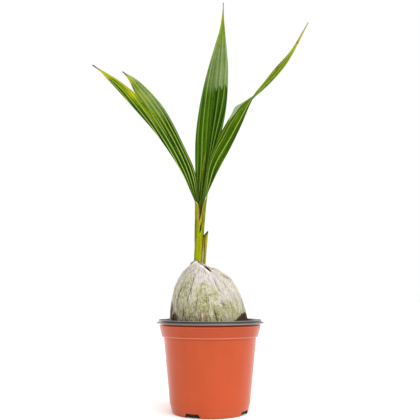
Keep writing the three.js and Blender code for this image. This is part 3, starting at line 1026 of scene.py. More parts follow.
def plan_distance(x, y, path):
    """Signed distance in plan to a path, positive on its left, and the share of its length."""
    knots = np.array(path, float) * MM
    lengths = np.linalg.norm(np.diff(knots, axis=0), axis=1)
    best = np.full(x.shape, np.inf)
    side = np.zeros(x.shape)
    share = np.zeros(x.shape)
    walked = 0
    for start, end, length in zip(knots[:-1], knots[1:], lengths):
        ux, uy = (end - start) / length
        t = np.clip((x - start[0]) * ux + (y - start[1]) * uy, 0, length)
        dx = x - start[0] - t * ux
        dy = y - start[1] - t * uy
        away = np.hypot(dx, dy)
        nearer = away < best
        best = np.where(nearer, away, best)
        side = np.where(nearer, np.sign(ux * dy - uy * dx), side)
        share = np.where(nearer, (walked + t) / lengths.sum(), share)
        walked += length
    return best * side, share


# Grooves in the husk: points as degrees from the front and degrees of latitude, then half width and
# depth in millimetres
GROOVES = [
    ([(-50, 40), (-55, 30), (-57, 23), (-55, 14)], 1.3, 1.6),
    ([(-21, 56), (-24, 44), (-28, 33), (-31, 25), (-33, 18)], 1.2, 1.2),
    ([(-13, 28), (-16, 19), (-17, 12)], 1.3, 1.2),
    ([(-38, 18), (-39, 9)], 1.2, 1.6),
    ([(8, 17), (10, 10), (12, 2)], 1.1, 2.2),
    ([(54, 56), (62, 53), (70, 50.5), (84, 45)], 2.0, 2.6),
    ([(38, 74), (55, 70), (74, 67), (88, 61)], 1.9, 2.2),
    ([(-24, 73), (-40, 66), (-60, 58)], 1.0, 0.7),
    ([(-15, 71), (-30, 62), (-42, 54)], 1.0, 0.8),
    ([(-5, 68), (-14, 58), (-20, 50)], 0.9, 0.6),
    ([(-50, 76), (-75, 68), (-88, 58)], 1.1, 0.8),
    ([(-60, 60), (-68, 48), (-72, 36)], 1.0, 0.9),
    ([(-44, 50), (-50, 40), (-52, 32)], 1.0, 0.8),
    ([(20, 52), (24, 42), (25, 30)], 0.9, 0.6),
    ([(-48, 22), (-50, 12), (-49, 4)], 1.2, 1.2),
    ([(72, 33), (77, 30), (79, 24), (80, 17), (79, 9)], 1.6, 2.4),
    ([(-68, 30), (-70, 16), (-66, 4)], 1.4, 1.4),
    ([(28, 60), (33, 50), (36, 42)], 1.0, 0.8),
]
BACK_GROOVES = 16
FINE_CRACKS = 70

# Slight swells and hollows: degrees from the front, latitude, reach both ways, and rise in millimetres
SWELLS = [
    ((92, 12), (50, 22), -1.2), ((85, 45), (30, 14), 1.0), ((-95, 15), (50, 30), -0.6),
    ((-75, 66), (50, 12), 1.2), ((65, 66), (40, 10), -1.2), ((95, 80), (60, 11), -3.5),
]

# Colour patches on the husk: degrees from the front, latitude, reach both ways, and strength
ALGAE_PATCHES = [
    ((-42, 38), (26, 26), 0.5), ((2, 27), (25, 19), 0.72), ((0, 12), (60, 17), 0.8),
    ((45, 12), (40, 15), 0.7), ((-60, 22), (24, 22), 0.34), ((150, 20), (50, 28), 0.75),
    ((-140, 28), (40, 30), 0.7), ((100, 12), (40, 16), 0.7),
]
PALE_PATCHES = [
    ((8, 55), (46, 26), 1.0), ((40, 38), (24, 24), 0.40), ((170, 58), (60, 20), 0.7),
    ((-20, 60), (26, 12), 0.6),
]
STAIN_PATCHES = [
    # The first two stain patches, low on the left by the pot's rim, are partly painted shade
    ((-66, 6), (20, 8), 1.1), ((-80, 12), (9, 12), 0.9), ((-20, 2), (60, 6), 0.6),
    ((-170, 2), (30, 7), 0.9), ((24, 68), (15, 3.5), 0.6), ((-8, 76.5), (17, 4.5), 0.62),
]
GRIME_PATCHES = [
    ((-25, 6), (55, 14), 1.0), ((-45, 24), (22, 22), 0.42), ((20, 12), (34, 16), 0.7),
    ((-85, 20), (16, 30), 0.6), ((160, 10), (80, 14), 0.8), ((52, 42), (30, 24), 0.35),
    ((3, 31), (19, 10), 0.65),
]
TAN_PATCHES = [
    ((24, 67), (16, 4.5), 1.0), ((-8, 77), (17, 5), 1.0), ((-40, 11), (8, 10), 0.85),
    ((-6, 8), (13, 7), 0.7), ((-58, 8), (10, 8), 0.7), ((150, 12), (20, 10), 0.7),
    ((-120, 10), (14, 10), 0.7),
]
# The worn corner low on the right, as its upper edge's latitude by degrees from the front
WORN_ANGLES = (30, 39.5, 45.5, 53, 62, 70.5, 84, 92, 100, 112, 120)
WORN_HEIGHTS = (1, 5.6, 7.4, 9.0, 10.8, 12.0, 12.6, 9, 8.5, 3, -2)
# Small dark spots: degrees from the front, latitude, and radius in millimetres
SPOTS = [
    ((-6, 14.5), 1.6), ((49, 41), 1.5), ((21, 21), 1.2), ((30, 30), 0.9), ((-2, 42), 0.9), ((-30, 46), 1.0),
]


def line_strength(around, up, points, half_width):
    """How near each vertex lies to a groove's line, 1 on it and 0 at its half width, fading at its ends."""
    shrink = np.maximum(np.cos(up), 0.15) * HUSK_RADIUS
    best = np.zeros(around.shape)
    knots = np.radians(np.array(points, float))
    for number, (start, end) in enumerate(zip(knots[:-1], knots[1:])):
        sx, sy = (around - start[0]) * shrink, (up - start[1]) * LATITUDE_LENGTH
        ex, ey = (end[0] - start[0]) * shrink, (end[1] - start[1]) * LATITUDE_LENGTH
        t = np.clip((sx * ex + sy * ey) / (ex * ex + ey * ey), 0, 1)
        away = np.hypot(sx - t * ex, sy - t * ey)
        rounding = np.sin(math.pi * (number + t) / (len(knots) - 1))
        reach = half_width * (0.35 + 0.65 * np.sqrt(rounding))
        line = fade_out(away, 0.15 * reach, reach) * smooth_step(rounding, -0.3, 0.4)
        best = np.maximum(best, line)
    return best


def turned_near(around_degrees, middle):
    """The same angles, written as the ones within half a turn of the middle."""
    return (around_degrees - middle + 180) % 360 - 180 + middle


def patches_at(around_degrees, up_degrees, patches):
    """The strongest of the soft patches at each vertex."""
    total = np.zeros(around_degrees.shape)
    for middle, reach, strength in patches:
        beside = turned_near(around_degrees, middle[0]) - middle[0]
        away = np.hypot(beside / reach[0], (up_degrees - middle[1]) / reach[1])
        total = np.maximum(total, strength * fade_out(away, 0.35, 1.15))
    return total


def back_grooves():
    """Grooves along the fibres on the sides that the front ones don't reach."""
    grooves = []
    for _ in range(BACK_GROOVES):
        around = dice.uniform(85, 275)
        low = dice.uniform(2, 40)
        high = low + dice.uniform(8, 30)
        points = [(around, low), (around + dice.uniform(-5, 5), high)]
        grooves.append((points, dice.uniform(1.0, 1.5), dice.uniform(0.8, 1.8)))
    return grooves


def fine_cracks():
    """Thin shallow cracks along the fibres all round."""
    cracks = []
    for _ in range(FINE_CRACKS):
        around = dice.uniform(-180, 180)
        low = dice.uniform(0, 62)
        length = dice.uniform(5, 20)
        lean = -0.12 * around * length / 20 if abs(around) < 90 else 0
        points = [(around, low), (around + lean + dice.uniform(-1.5, 1.5), min(low + length, 74))]
        cracks.append((points, dice.uniform(0.75, 1.0), dice.uniform(0.5, 1.2)))
    return cracks


def noise_field(places, scale, octaves):
    return np.array([noise.fractal(Vector(place * scale), 1.0, 2.0, octaves) for place in places])


def egg_sphere():
    """The husk as a sphere with its rings crowded at its top, its unit places and their angles."""
    start_piece()
    bpy.ops.mesh.primitive_uv_sphere_add(segments=HUSK_SEGMENTS, ring_count=HUSK_RINGS, radius=1)
    husk = name_piece("coconut_husk")
    unit = vertex_places(husk)
    around = np.arctan2(unit[:, 0], -unit[:, 1])
    climbed = np.arcsin(np.clip(unit[:, 2], -1, 1)) / math.pi + 0.5
    up = math.pi * (0.5 - (1 - climbed) ** HUSK_CROWDING)
    unit[:, 2] = np.sin(up)
    level = np.hypot(unit[:, 0], unit[:, 1])
    unit[:, :2] *= (np.cos(up) / np.maximum(level, 1e-9))[:, None]
    return husk, unit, around, up


class HuskSkin:
    """The husk's vertices, with the relief and the colour masks that are worked out from their angles."""

    def __init__(self, unit, around, up):
        self.around = around
        self.up = up
        self.from_front = np.degrees(around)
        self.latitude = np.degrees(up)
        self.places = husk_surface(around, up)
        self.top = smooth_step(self.latitude, 35, 45)
        outward = unit / np.array([1, 1, 1.3])
        self.outward = outward / np.linalg.norm(outward, axis=1)[:, None]
        self.noise = {}
        for name, (stretch, shift, scale, octaves) in HUSK_NOISES.items():
            self.noise[name] = noise_field(unit * np.array(stretch) + np.array(shift), scale, octaves)
        self.cut_grooves(GROOVES + back_grooves() + fine_cracks())
        self.open_split()
        self.sink_socket()

    def patches(self, rows):
        return patches_at(self.from_front, self.latitude, rows)

    def cut_grooves(self, grooves):
        """How dark each vertex is painted for the shade in the grooves, and how deep it lies in them."""
        self.groove = np.zeros(self.up.shape)
        self.sunk = np.zeros(self.up.shape)
        wander = (1.3 * MM * self.noise["ribs"] + 0.5 * MM * self.noise["fibres"]) / HUSK_RADIUS
        for points, half_width, depth in grooves:
            turned = turned_near(self.from_front, np.mean([point[0] for point in points]))
            line = line_strength(np.radians(turned) + wander, self.up, points, 1.6 * half_width * MM)
            self.groove = np.maximum(self.groove, line * min(depth / 1.8, 1))
            self.sunk = np.maximum(self.sunk, line * depth * MM)

    def open_split(self):
        """The split, its inside darkened with painted shade, its raised and torn lips, and brown skin beyond
        it that is partly painted shade on the rear lip's face.
        """
        split, share = plan_distance(self.places[:, 0], self.places[:, 1], SPLIT_PLAN)
        away = np.abs(split)
        front = split < 0
        ending = fade_out(share, 0.84, 0.97)
        here = ending * self.top
        half_width = SPLIT_HALF_WIDTH * (0.25 + 0.75 * ending)
        self.gap = fade_out(away, 0.55 * half_width, half_width) * here
        dark = fade_out(away, half_width, 1.3 * half_width) * here
        self.inside = dark * smooth_step(share, 0.52, 0.64)
        self.lift = SPLIT_LIFT * np.exp(-away / np.where(front, 5 * MM, 6 * MM)) * here
        torn = bell(away, 5.5 * MM, 2.5 * MM) * here * (1 - self.gap)
        self.torn = torn * np.where(front, 1.0, 0.35)
        brown = self.gap * fade_out(share, 0.38, 0.56)
        # The rear lip's face beyond the split is darkened as painted shade
        beyond = 0.45 * bell(split, 6 * MM, 3 * MM) * smooth_step(share, 0.45, 0.65) * here
        self.split_brown_and_shade = np.maximum(brown, beyond)

    def sink_socket(self):
        """The hollow that holds the stem and the scale leaf, darkened with painted shade, and the fibrous
        collar round it.
        """
        stem = stem_centre(SOCKET_HEIGHT)
        from_stem = np.hypot(self.places[:, 0] - stem[0], self.places[:, 1] - stem[1])
        scale_x, scale_y = SOCKET_SCALE_PLACE
        from_scale = np.hypot(self.places[:, 0] - scale_x, self.places[:, 1] - scale_y)
        rim = np.minimum(from_stem - BUNDLE_FOOT_RADIUS, from_scale - SCALE_RADIUS)
        uneven = np.clip(0.4 + 1.4 * self.noise["ribs"], 0, 1)
        self.socket = fade_out(rim, 0.2 * MM, 1.4 * MM) * self.top
        self.collar = np.exp(-np.clip(rim, 0, 1) / (3 * MM)) * self.top * uneven

    def shaped(self):
        """The vertices' places with all the relief."""
        noises = self.noise
        height = 0.8 * noises["ribs"] + 0.45 * noises["fibres"] + 0.8 * noises["lumps"] - 0.5
        for middle, reach, rise in SWELLS:
            height += rise * self.patches([(middle, reach, 1)])
        height = height * MM + self.lift - self.sunk + 1.2 * MM * self.collar - SPLIT_DEPTH * self.gap
        places = self.places + self.outward * height[:, None]
        places[:, 2] -= SOCKET_DEPTH * self.socket
        return places

    def stained(self):
        """Dark brown skin: its patches, partly painted shade low on the left, the husk's foot, the worn
        corner, and the skin by the split, partly painted shade.
        """
        mottle = self.noise["mottle"]
        worn_edge = np.interp(self.from_front, WORN_ANGLES, WORN_HEIGHTS)
        worn = worn_edge - self.latitude + 0.7 * self.noise["fibres"] + 1.2 * mottle
        patches = self.patches(STAIN_PATCHES) + 0.25 * self.noise["ribs"] + 0.6 * mottle
        foot = fade_out(self.latitude, -3, 3)
        kinds = [smooth_step(patches, 0.35, 0.8), foot, smooth_step(worn, -0.3, 0.5), self.split_brown_and_shade]
        return np.maximum.reduce(kinds)

    def spotted(self):
        """Small dark spots, a little wider than they are high."""
        rows = []
        for middle, radius in SPOTS:
            reach = np.degrees(radius * MM / HUSK_RADIUS)
            rows.append((middle, (reach, reach * 0.8)))
        return 0.85 * strongest_spot(self.from_front, self.latitude, rows)

    def masks(self):
        mottle = self.noise["mottle"]
        drift = self.noise["drift"]
        algae = self.patches(ALGAE_PATCHES)
        green = np.clip(algae + 0.6 * mottle + 0.55 * drift - 0.05, 0, 1) * smooth_step(algae, 0, 0.2)
        stain = self.stained()
        groove = np.maximum(self.groove, self.spotted())
        return {
            "algae": green,
            "pale": np.clip(self.patches(PALE_PATCHES) + 0.4 * mottle + 0.4 * drift, 0, 1),
            "stain": stain,
            "grime": np.clip(self.patches(GRIME_PATCHES) + 0.3 * mottle, 0, 1),
            "tan": self.patches(TAN_PATCHES),
            # The groove mask paints shade in the grooves, the split and the stem's socket, and carries the
            # small dark spots
            "groove": np.clip(groove + self.inside + 0.4 * self.gap + self.socket, 0, 1),
            "torn": self.torn * (1 - 0.75 * np.clip(stain, 0, 1)),
        }

    def along_fibres(self):
        """A place for each vertex that stretches the finish's noises along the fibres."""
        return np.stack([np.sin(self.around), -np.cos(self.around), 0.13 * self.up], -1)


def make_husk():
    husk, unit, around, up = egg_sphere()
    skin = HuskSkin(unit, around, up)
    move_vertices(husk, skin.shaped())
    store(husk, **skin.masks())
    store_places(husk, "grain", skin.along_fibres())
    return finished(husk, HUSK, 70)


def make_husk_fibres():
    """Loose fibres round the stem's foot, shorter on its right and higher behind it."""
    vertices = []
    faces = []
    for _ in range(LOOSE_FIBRES):
        angle = dice.uniform(0, 2 * math.pi)
        x, y = math.cos(angle), math.sin(angle)
        reach = dice.uniform(*FIBRE_REACH) * MM
        rise = FIBRE_HEIGHT + FIBRE_BACK_RISE * max(0, -math.sin(angle + 0.5))
        start = Vector((STEM_FOOT.x + 2 * MM + reach * x, reach * 0.9 * y, rise))
        out = Vector((x, y, dice.uniform(-0.5, 1.2))).normalized()
        length = dice.uniform(*FIBRE_LENGTH) * MM * (0.45 if x > 0.2 else 1)
        places = [start + length * (out * t - Vector((0, 0, 0.6 * t * t))) for t in FIBRE_STEPS]
        add_strand(vertices, faces, places, FIBRE_RADII)
    return from_arrays("husk_fibres", vertices, faces, [HUSK_FIBRES])


# Stem


def stem_share(height):
    return (height - STEM_FOOT.z) / (STEM_FORK.z - STEM_FOOT.z)


def stem_centre(height):
    share = stem_share(height)
    x = STEM_FOOT.x + (STEM_FORK.x - STEM_FOOT.x) * share
    y = STEM_FOOT.y + (STEM_FORK.y - STEM_FOOT.y) * share
    return np.stack([x, y, height], -1)


def bundle_radius(height):
    share = np.clip(stem_share(height), 0, None)
    return BUNDLE_FOOT_RADIUS + (BUNDLE_FORK_RADIUS - BUNDLE_FOOT_RADIUS) * share**1.6


def around_stem(height, from_front, radius):
    """Points on the stem at angles in degrees from the front, positive towards the right."""
    angle = np.radians(from_front)
    centre = stem_centre(height)
    return centre + np.stack([np.sin(angle) * radius, -np.cos(angle) * radius, np.zeros_like(height)], -1)


def stops(height, pairs):
    heights = [pair[0] * MM for pair in pairs]
    values = [pair[1] for pair in pairs]
    return np.interp(height, heights, values)


# Sheaths: top height, depth under the bundle's surface, edges by height and degrees from the front, and
# the margin's width, in millimetres
LEFT_SHEATH = {
    "top": 412,
    "depth": [(266, 2.1), (304, 1.9), (318, 0.1), (340, -0.3), (362, -0.1), (376, 0.4), (412, 0.7)],
    "start": [(266, -195), (350, -180), (395, -140), (412, -112)],
    "end": [(266, 120), (345, 60), (370, -4), (394, -8), (403, -20), (408, -36), (412, -72)],
    "margin": 2.4,
}
RIGHT_SHEATH = {
    "top": 426,
    "depth": [(266, -0.7), (340, -0.5), (380, -0.8), (405, -1.1), (426, -2.2)],
    "start": [
        (266, -160), (312, -85), (325, -53), (337, -31), (360, -15), (370, -2), (378, 10), (387, 20),
        (395, 25), (404, 32), (414, 48), (426, 70),
    ],
    "end": [(266, 165), (350, 150), (400, 124), (426, 92)],
    "margin": 1.9,
}
SHEATH_COLUMNS = 90
SHEATH_ROWS = 150
SHEATH_THICKNESS = 1.2 * MM
SHEATH_RIPPLE = 0.12 * MM
FLUSH_HEIGHTS = (400 * MM, 330 * MM)
SHADE_SOFTNESS = 12


def wrap_sheath(name, shape):
    """A sheet wrapped round the stem between its two edges."""
    sheath, across, along = sheet_primitive(name, SHEATH_COLUMNS, SHEATH_ROWS)
    height = STEM_FOOT.z + (shape["top"] * MM - STEM_FOOT.z) * along
    start = stops(height, shape["start"])
    from_front = start + (stops(height, shape["end"]) - start) * across
    ripple = SHEATH_RIPPLE * np.sin(np.radians(from_front) * 17 + 2.2 * np.sin(height * 30))
    radius = bundle_radius(height) - stops(height, shape["depth"]) * MM - SHEATH_THICKNESS / 2 + ripple
    move_vertices(sheath, around_stem(height, from_front, radius))
    return sheath, across, height, from_front, radius


def edge_distance(across, height, shape, radius):
    """Distance along the surface to the sheath's nearer edge or its top."""
    span = np.abs(np.radians(stops(height, shape["end"]) - stops(height, shape["start"]))) * radius
    beside = np.minimum(across, 1 - across) * span
    return np.minimum(beside, shape["top"] * MM - height)


def make_sheath(name, shape, marks):
    sheath, across, height, from_front, radius = wrap_sheath(name, shape)
    edge = edge_distance(across, height, shape, radius)
    level = height / MM
    margin = fade_out(edge, 0.5 * shape["margin"] * MM, shape["margin"] * MM)
    rust = 0.55 * strongest_spot(from_front, level, marks["rust"])
    low_share = 1 - marks["flush_high"]
    flush_height = marks["flush_high"] + low_share * smooth_step(height, *FLUSH_HEIGHTS)
    flush = bell(from_front, marks["flush_at"], marks["flush_reach"]) * flush_height
    papery = fade_out(edge, 0.8 * MM, 2.0 * MM) * smooth_step(height, *marks["papery_from"])
    store(
        sheath,
        margin=np.maximum(margin, rust),
        flush=np.clip(flush, 0, 1),
        shadow=side_shade(from_front, level, marks["shades"]),
        lesion=strongest_spot(from_front, level, marks["lesions"]),
        papery=papery,
    )
    thicken(sheath, SHEATH_THICKNESS, smooth_step(edge, 0, FOLDED_EDGE))
    return finished(sheath, SHEATH, 50)


# Each sheath's colours: where its tip is papery and where it is yellowest, its dark lesions and its rust,
# each by degrees from the front, height and reach, and its shades by angle, reach, heights and strength
LEFT_SHEATH_MARKS = {
    "papery_from": (402 * MM, 408 * MM),
    "flush_at": -55,
    "flush_reach": 80,
    "flush_high": 0.85,
    "lesions": [],
    "rust": [((-90, 324), (44, 13)), ((-92, 302), (30, 8))],
    "shades": [(-50, 28, 340, 368, 0.5), (-84, 40, 314, 334, 0.9), (-115, 26, 340, 412, 0.4)],
}
RIGHT_SHEATH_MARKS = {
    "papery_from": (410 * MM, 418 * MM),
    "flush_at": 0,
    "flush_reach": 90,
    "flush_high": 0.6,
    "lesions": [
        ((24, 365), (9, 5)), ((20, 360), (13, 7)), ((16, 355), (13, 7)), ((11, 350), (9, 5)),
        ((28, 383), (3.5, 8)), ((34, 373), (4, 7)), ((47, 369), (3.5, 7)),
    ],
    "rust": [],
    "shades": [(88, 26, 330, 420, 0.55), (42, 8, 345, 400, 0.4), (-95, 26, 266, 330, 0.8)],
}


def side_shade(from_front, level, shades):
    """Darker bands along the sheath."""
    total = np.zeros(level.shape)
    for middle, reach, low, high, strength in shades:
        below = smooth_step(level, low - SHADE_SOFTNESS, low)
        above = smooth_step(level, high, high + SHADE_SOFTNESS)
        total = np.maximum(total, strength * bell(from_front, middle, reach) * below * (1 - above))
    return total


# The core: the lowest and highest of its rings inside the sheaths and how many they are, how far it lies
# inside them, and the spear above by radius and height
CORE_SIDES = 40
CORE_HEIGHTS = (266, 372, 14)
CORE_INSET = 4.2
CORE_TOP = [(5.4, 382), (4.8, 394), (4.0, 408), (3.0, 424), (1.8, 440), (0.6, 454)]
CORE_LEAN = 0.16
CORE_LEANS_FROM = 384 * MM


def make_core():
    """The stem's inner core, which narrows to a spear behind the middle leaf."""
    heights = np.linspace(*CORE_HEIGHTS)
    rings = list(zip(bundle_radius(heights * MM) / MM - CORE_INSET, heights))
    first_radius, first_height = rings[0]
    core = turned_body("stem_core", CORE_SIDES, first_radius * MM, first_height * MM, rings[1:] + CORE_TOP)
    places = vertex_places(core)
    height = places[:, 2]
    places[:, :2] += stem_centre(height)[:, :2]
    places[:, 1] += CORE_LEAN * np.clip(height - CORE_LEANS_FROM, 0, None)
    move_vertices(core, places)
    face_outwards(core)
    shadow = 0.3 + 0.4 * bell(height, 392 * MM, 14 * MM)
    store(core, margin=0, lesion=0, papery=0, flush=0.45, shadow=shadow)
    return finished(core, SHEATH, 50)


# The scale leaf's sheet: its angles from the front, its start by the share of its height, and its slant
SCALE_COLUMNS = 70
SCALE_ROWS = 110
SCALE_SHARES = (0, 0.55, 1)
SCALE_STARTS = (2, -7, -10)
SCALE_END = 178
SCALE_SLANT = 1.15
SCALE_THICKNESS = 1.1 * MM


def make_scale_leaf():
    """The short scale leaf: a sheet that clasps the stem's right side, cut on a slant at its tip."""
    scale, across, along = sheet_primitive("short_scale_leaf", SCALE_COLUMNS, SCALE_ROWS)
    start = np.interp(along, SCALE_SHARES, SCALE_STARTS)
    from_front = start + (SCALE_END - start) * across
    side = np.sin(np.radians(from_front))
    top = SCALE_TIP.z - (1 - side) * SCALE_RADIUS * SCALE_SLANT
    height = SCALE_FOOT.z + (top - SCALE_FOOT.z) * along
    share = (height - SCALE_FOOT.z) / (SCALE_TIP.z - SCALE_FOOT.z)
    radius = SCALE_RADIUS * (1 - 0.12 * (1 - share)) - 0.6 * MM
    x = SCALE_FOOT.x + (SCALE_TIP.x - SCALE_FOOT.x) * share + side * radius
    y = SCALE_FOOT.y - np.cos(np.radians(from_front)) * radius
    move_vertices(scale, np.stack([x, y, height], -1))
    below_tip = top - height
    beside = np.minimum(across, 1 - across) * np.radians(SCALE_END - start) * radius
    upper = smooth_step(height, 300 * MM, 328 * MM)
    # The line just inside the lilac edge is a painted shadow; the brown upper edge is the leaf's own colour
    line = fade_out(beside, 3.4 * MM, 4.4 * MM) * smooth_step(beside, 1.6 * MM, 2.6 * MM)
    upper_edge = 0.8 * upper * fade_out(beside, 2.6 * MM, 4.0 * MM)
    shadow = 0.6 * fade_out(height, 270 * MM, 292 * MM) * smooth_step(from_front, 100, 60)
    store(
        scale,
        margin=np.maximum(line, upper_edge),
        flush=0.75 * bell(from_front, 62, 40) + 0.1,
        shadow=shadow,
        lesion=fade_out(below_tip, 3.6 * MM, 6.0 * MM),
        papery=(1 - 0.8 * upper) * fade_out(beside, 1.6 * MM, 2.4 * MM),
    )
    thicken(scale, SCALE_THICKNESS, smooth_step(np.minimum(beside, below_tip), 0, 2.2 * MM))
    return finished(scale, SCALE, 50)


# Leaves. Each half runs from the rib, and the notch beyond it if the tip is forked, to its margin. A nerve
# gives the share of the half's width at which a pleat's ridge lies, a fifth, a half and four fifths of the
# way up, and its strength. Roots are degrees from the front, pleats and the rib's radii are in millimetres.

LEFT_LEAF = {
    "rib": [(-28.6, 0, 411.4), (-54, 6, 488), (-104, 26, 576), (-161, 48, 653)],
    "near": {
        "notch": [
            (-180, 46, 669), (-192, 45, 678.5), (-203.5, 44.5, 686.2), (-219.3, 43.5, 695.8),
            (-233, 42.5, 704), (-247, 42, 712), (-255, 42, 717.8),
        ],
        "margin": [
            (-33, -4, 417), (-61.5, -6, 476), (-108.5, 3, 548.5), (-185, 26, 641), (-214.3, 34, 675.4),
            (-225.3, 37, 687.4), (-233, 39, 697.4), (-246.7, 41, 708.8), (-255.5, 41, 715.4),
        ],
        "bulge": -0.04,
        "nerves": [
            (-0.2, -0.5, -0.9, 0), (0.45, 0.15, -0.25, 0.8), (0.95, 0.52, 0.17, 1),
            (1.25, 0.85, 0.58, 1), (1.6, 1.15, 0.86, 0.8), (2.0, 1.5, 1.2, 0),
        ],
        "root": -45,
        "fold_shade": 1.0,
    },
    "far": {
        "notch": [
            (-167.5, 50, 665), (-173.4, 54, 679), (-183.3, 59, 696.5), (-188.3, 60, 702.5),
            (-193.5, 61, 708),
        ],
        "margin": [
            (-24.5, -4, 420), (-32.2, 1.5, 472), (-51, 19.5, 521), (-101, 46, 622),
            (-147.4, 58, 677.6), (-167.4, 60, 694.2), (-183.3, 61, 703), (-193.2, 61, 709.5),
        ],
        "bulge": 0.04,
        "nerves": [
            (-0.55, -0.3, -0.1, 0), (-0.2, 0.02, 0.2, 0.7), (0.10, 0.31, 0.49, 1),
            (0.53, 0.64, 0.79, 1), (0.83, 0.87, 0.95, 0.6), (1.15, 1.15, 1.15, 0),
        ],
        "root": -125,
        "fold_shade": 0.85,
    },
    "rib_root": -85,
    "rib_radius": (1.5, 0.35),
    "pleat_depth": 1.7,
}

MIDDLE_LEAF = {
    "rib": [
        (-20, 1, 404.4), (-9, 12, 480), (1, 25, 590), (13, 40, 715),
        (22.5, 51, 789), (27.2, 56, 830), (28.7, 60, 868),
    ],
    "near": {
        "notch": [],
        "margin": [
            (-27.5, 5, 408), (-29.5, 5, 436), (-30.5, 4, 465), (-30, 3, 549), (-15, 19, 657),
            (11.1, 43, 764), (20.7, 51.5, 801), (25.1, 55.5, 829), (27.2, 58.5, 850), (28.0, 59.5, 868),
        ],
        "bulge": 0.04,
        "nerves": [
            (-0.4, -0.35, -0.35, 0), (-0.08, 0.0, 0.02, 0.1), (0.2, 0.32, 0.38, 0.12),
            (0.5, 0.65, 0.76, 0.5), (0.8, 0.95, 1.08, 0.15), (1.2, 1.3, 1.4, 0),
        ],
        "root": -78,
        "fold_shade": 0.35,
    },
    "far": {
        "notch": [],
        "margin": [
            (-15.5, 2, 415), (9, 6, 505), (31, 15, 603), (37, 31, 701), (35, 40, 746),
            (31.1, 49, 801), (29.3, 54, 829), (29.1, 57.5, 850), (29.3, 60, 868),
        ],
        "bulge": -0.04,
        "nerves": [
            (-0.3, -0.3, -0.3, 0), (0.0, 0.0, 0.0, 0.2), (0.2, 0.38, 0.46, 0.4),
            (0.42, 0.76, 0.92, 0.45), (0.7, 1.12, 1.3, 0.2), (1.1, 1.5, 1.7, 0),
        ],
        "root": 78,
        "fold_shade": 0.9,
    },
    "rib_root": 0,
    "rib_radius": (1.4, 0.3),
    "pleat_depth": 1.3,
}

RIGHT_LEAF = {
    "rib": [
        (-14, -3.5, 408), (-8.6, -6, 432), (-1.5, -11, 480), (12.6, -18, 515), (27, -21, 540),
        (42.2, -23, 569), (62.4, -18, 599), (89, -14, 625), (152, -16, 699), (203, -20, 785),
    ],
    "near": {
        "notch": [],
        "margin": [
            (-18.5, -4.5, 408), (-14.6, -6.3, 421), (-7, -8, 469), (5.3, -10, 514.5), (22.5, -10, 554),
            (44.3, -10, 593), (49.8, -8, 605.4), (55, -6, 610.5), (72.3, 0, 621.3), (85, 3.5, 631),
            (97, 6.5, 637.5), (152.5, -8, 692), (204, -19, 785),
        ],
        "bulge": 0.03,
        "nerves": [
            (-0.5, -0.5, -0.5, 0), (0.0, 0.0, 0.0, 1), (0.55, 0.45, 0.42, 0.35),
            (1.1, 0.95, 0.85, 0.3), (1.7, 1.5, 1.4, 0),
        ],
        "root": 30,
        "fold_shade": 0.8,
    },
    "far": {
        "notch": [],
        "margin": [
            (-12, -2.5, 408), (-3.6, -7, 432), (9.8, -17, 461), (22.5, -24, 485), (36, -29, 509),
            (58.5, -35, 555), (87, -34, 619), (133, -22, 685), (163.5, -21, 720), (203, -20, 786),
        ],
        "bulge": -0.03,
        "nerves": [
            (-0.5, -0.5, -0.5, 0), (0.0, 0.0, 0.0, 1), (0.50, 0.80, 0.5, 1),
            (0.97, 1.3, 1.0, 0.2), (1.5, 1.9, 1.5, 0),
        ],
        "root": 120,
        "fold_shade": 0.8,
    },
    "rib_root": 75,
    "rib_radius": (1.3, 0.3),
    "pleat_depth": 1.4,
}


def pleat_phase(across, along, nerves):
    """How far each vertex is from a nerve to the next, their spacing, and the nearer one's strength."""
    levels = np.clip(along, 0.05, 0.95)
    rows = [np.interp(levels, NERVE_LEVELS, nerve[:3]) for nerve in nerves]
    phase = np.zeros(across.shape)
    spacing = np.ones(across.shape)
    for number, (low, high) in enumerate(zip(rows[:-1], rows[1:])):
        inside = (across >= low) & (across < high)
        phase = np.where(inside, number + (across - low) / (high - low), phase)
        spacing = np.where(inside, high - low, spacing)
    strengths = np.array([nerve[3] for nerve in nerves])
    return phase, spacing, strengths[np.clip(np.round(phase).astype(int), 0, len(nerves) - 1)]


def open_blade(leaf, half, across, reach):
    """Points of the half blade above its foot, without pleats, and its width there."""
    start = SmoothCurve(leaf["rib"] + half["notch"]).at(reach)
    end = SmoothCurve(half["margin"]).at(reach)
    width = np.linalg.norm(end - start, axis=1)
    spread = across * (1 + MARGIN_ROOM / np.maximum(width, 2 * MM))
    shift = np.array(BLADE_SHIFT) * smooth_step(reach, 0, SHIFT_REACH)[:, None]
    return start + (end - start) * spread[:, None] + shift, width


def foot(base, ahead, from_front, below):
    """Bends from the blade's own direction at its base down to its root inside the stem."""
    down = base - ahead
    down /= np.maximum(np.linalg.norm(down, axis=1), 1e-9)[:, None]
    corner = base + down * FOOT_BEND
    level = np.full(from_front.shape, ROOT_HEIGHT)
    root = around_stem(level, from_front, ROOT_RADIUS)
    share = below[:, None]
    return (1 - share) ** 2 * base + 2 * share * (1 - share) * corner + share**2 * root


def blade_surface(leaf, side, across, along):
    """Points of the half blade without pleats. Below 0 it runs down into the stem as a channel."""
    half = leaf[side]
    reach = np.clip(along, 0, 1)
    blade, width = open_blade(leaf, half, across, reach)
    ahead, _ = open_blade(leaf, half, across, np.minimum(reach + STEP_AHEAD, 1))
    from_front = leaf["rib_root"] + (half["root"] - leaf["rib_root"]) * across
    below = np.clip(-along / ROOT_SHARE, 0, 1)
    return np.where(below[:, None] > 0, foot(blade, ahead, from_front, below), blade), width


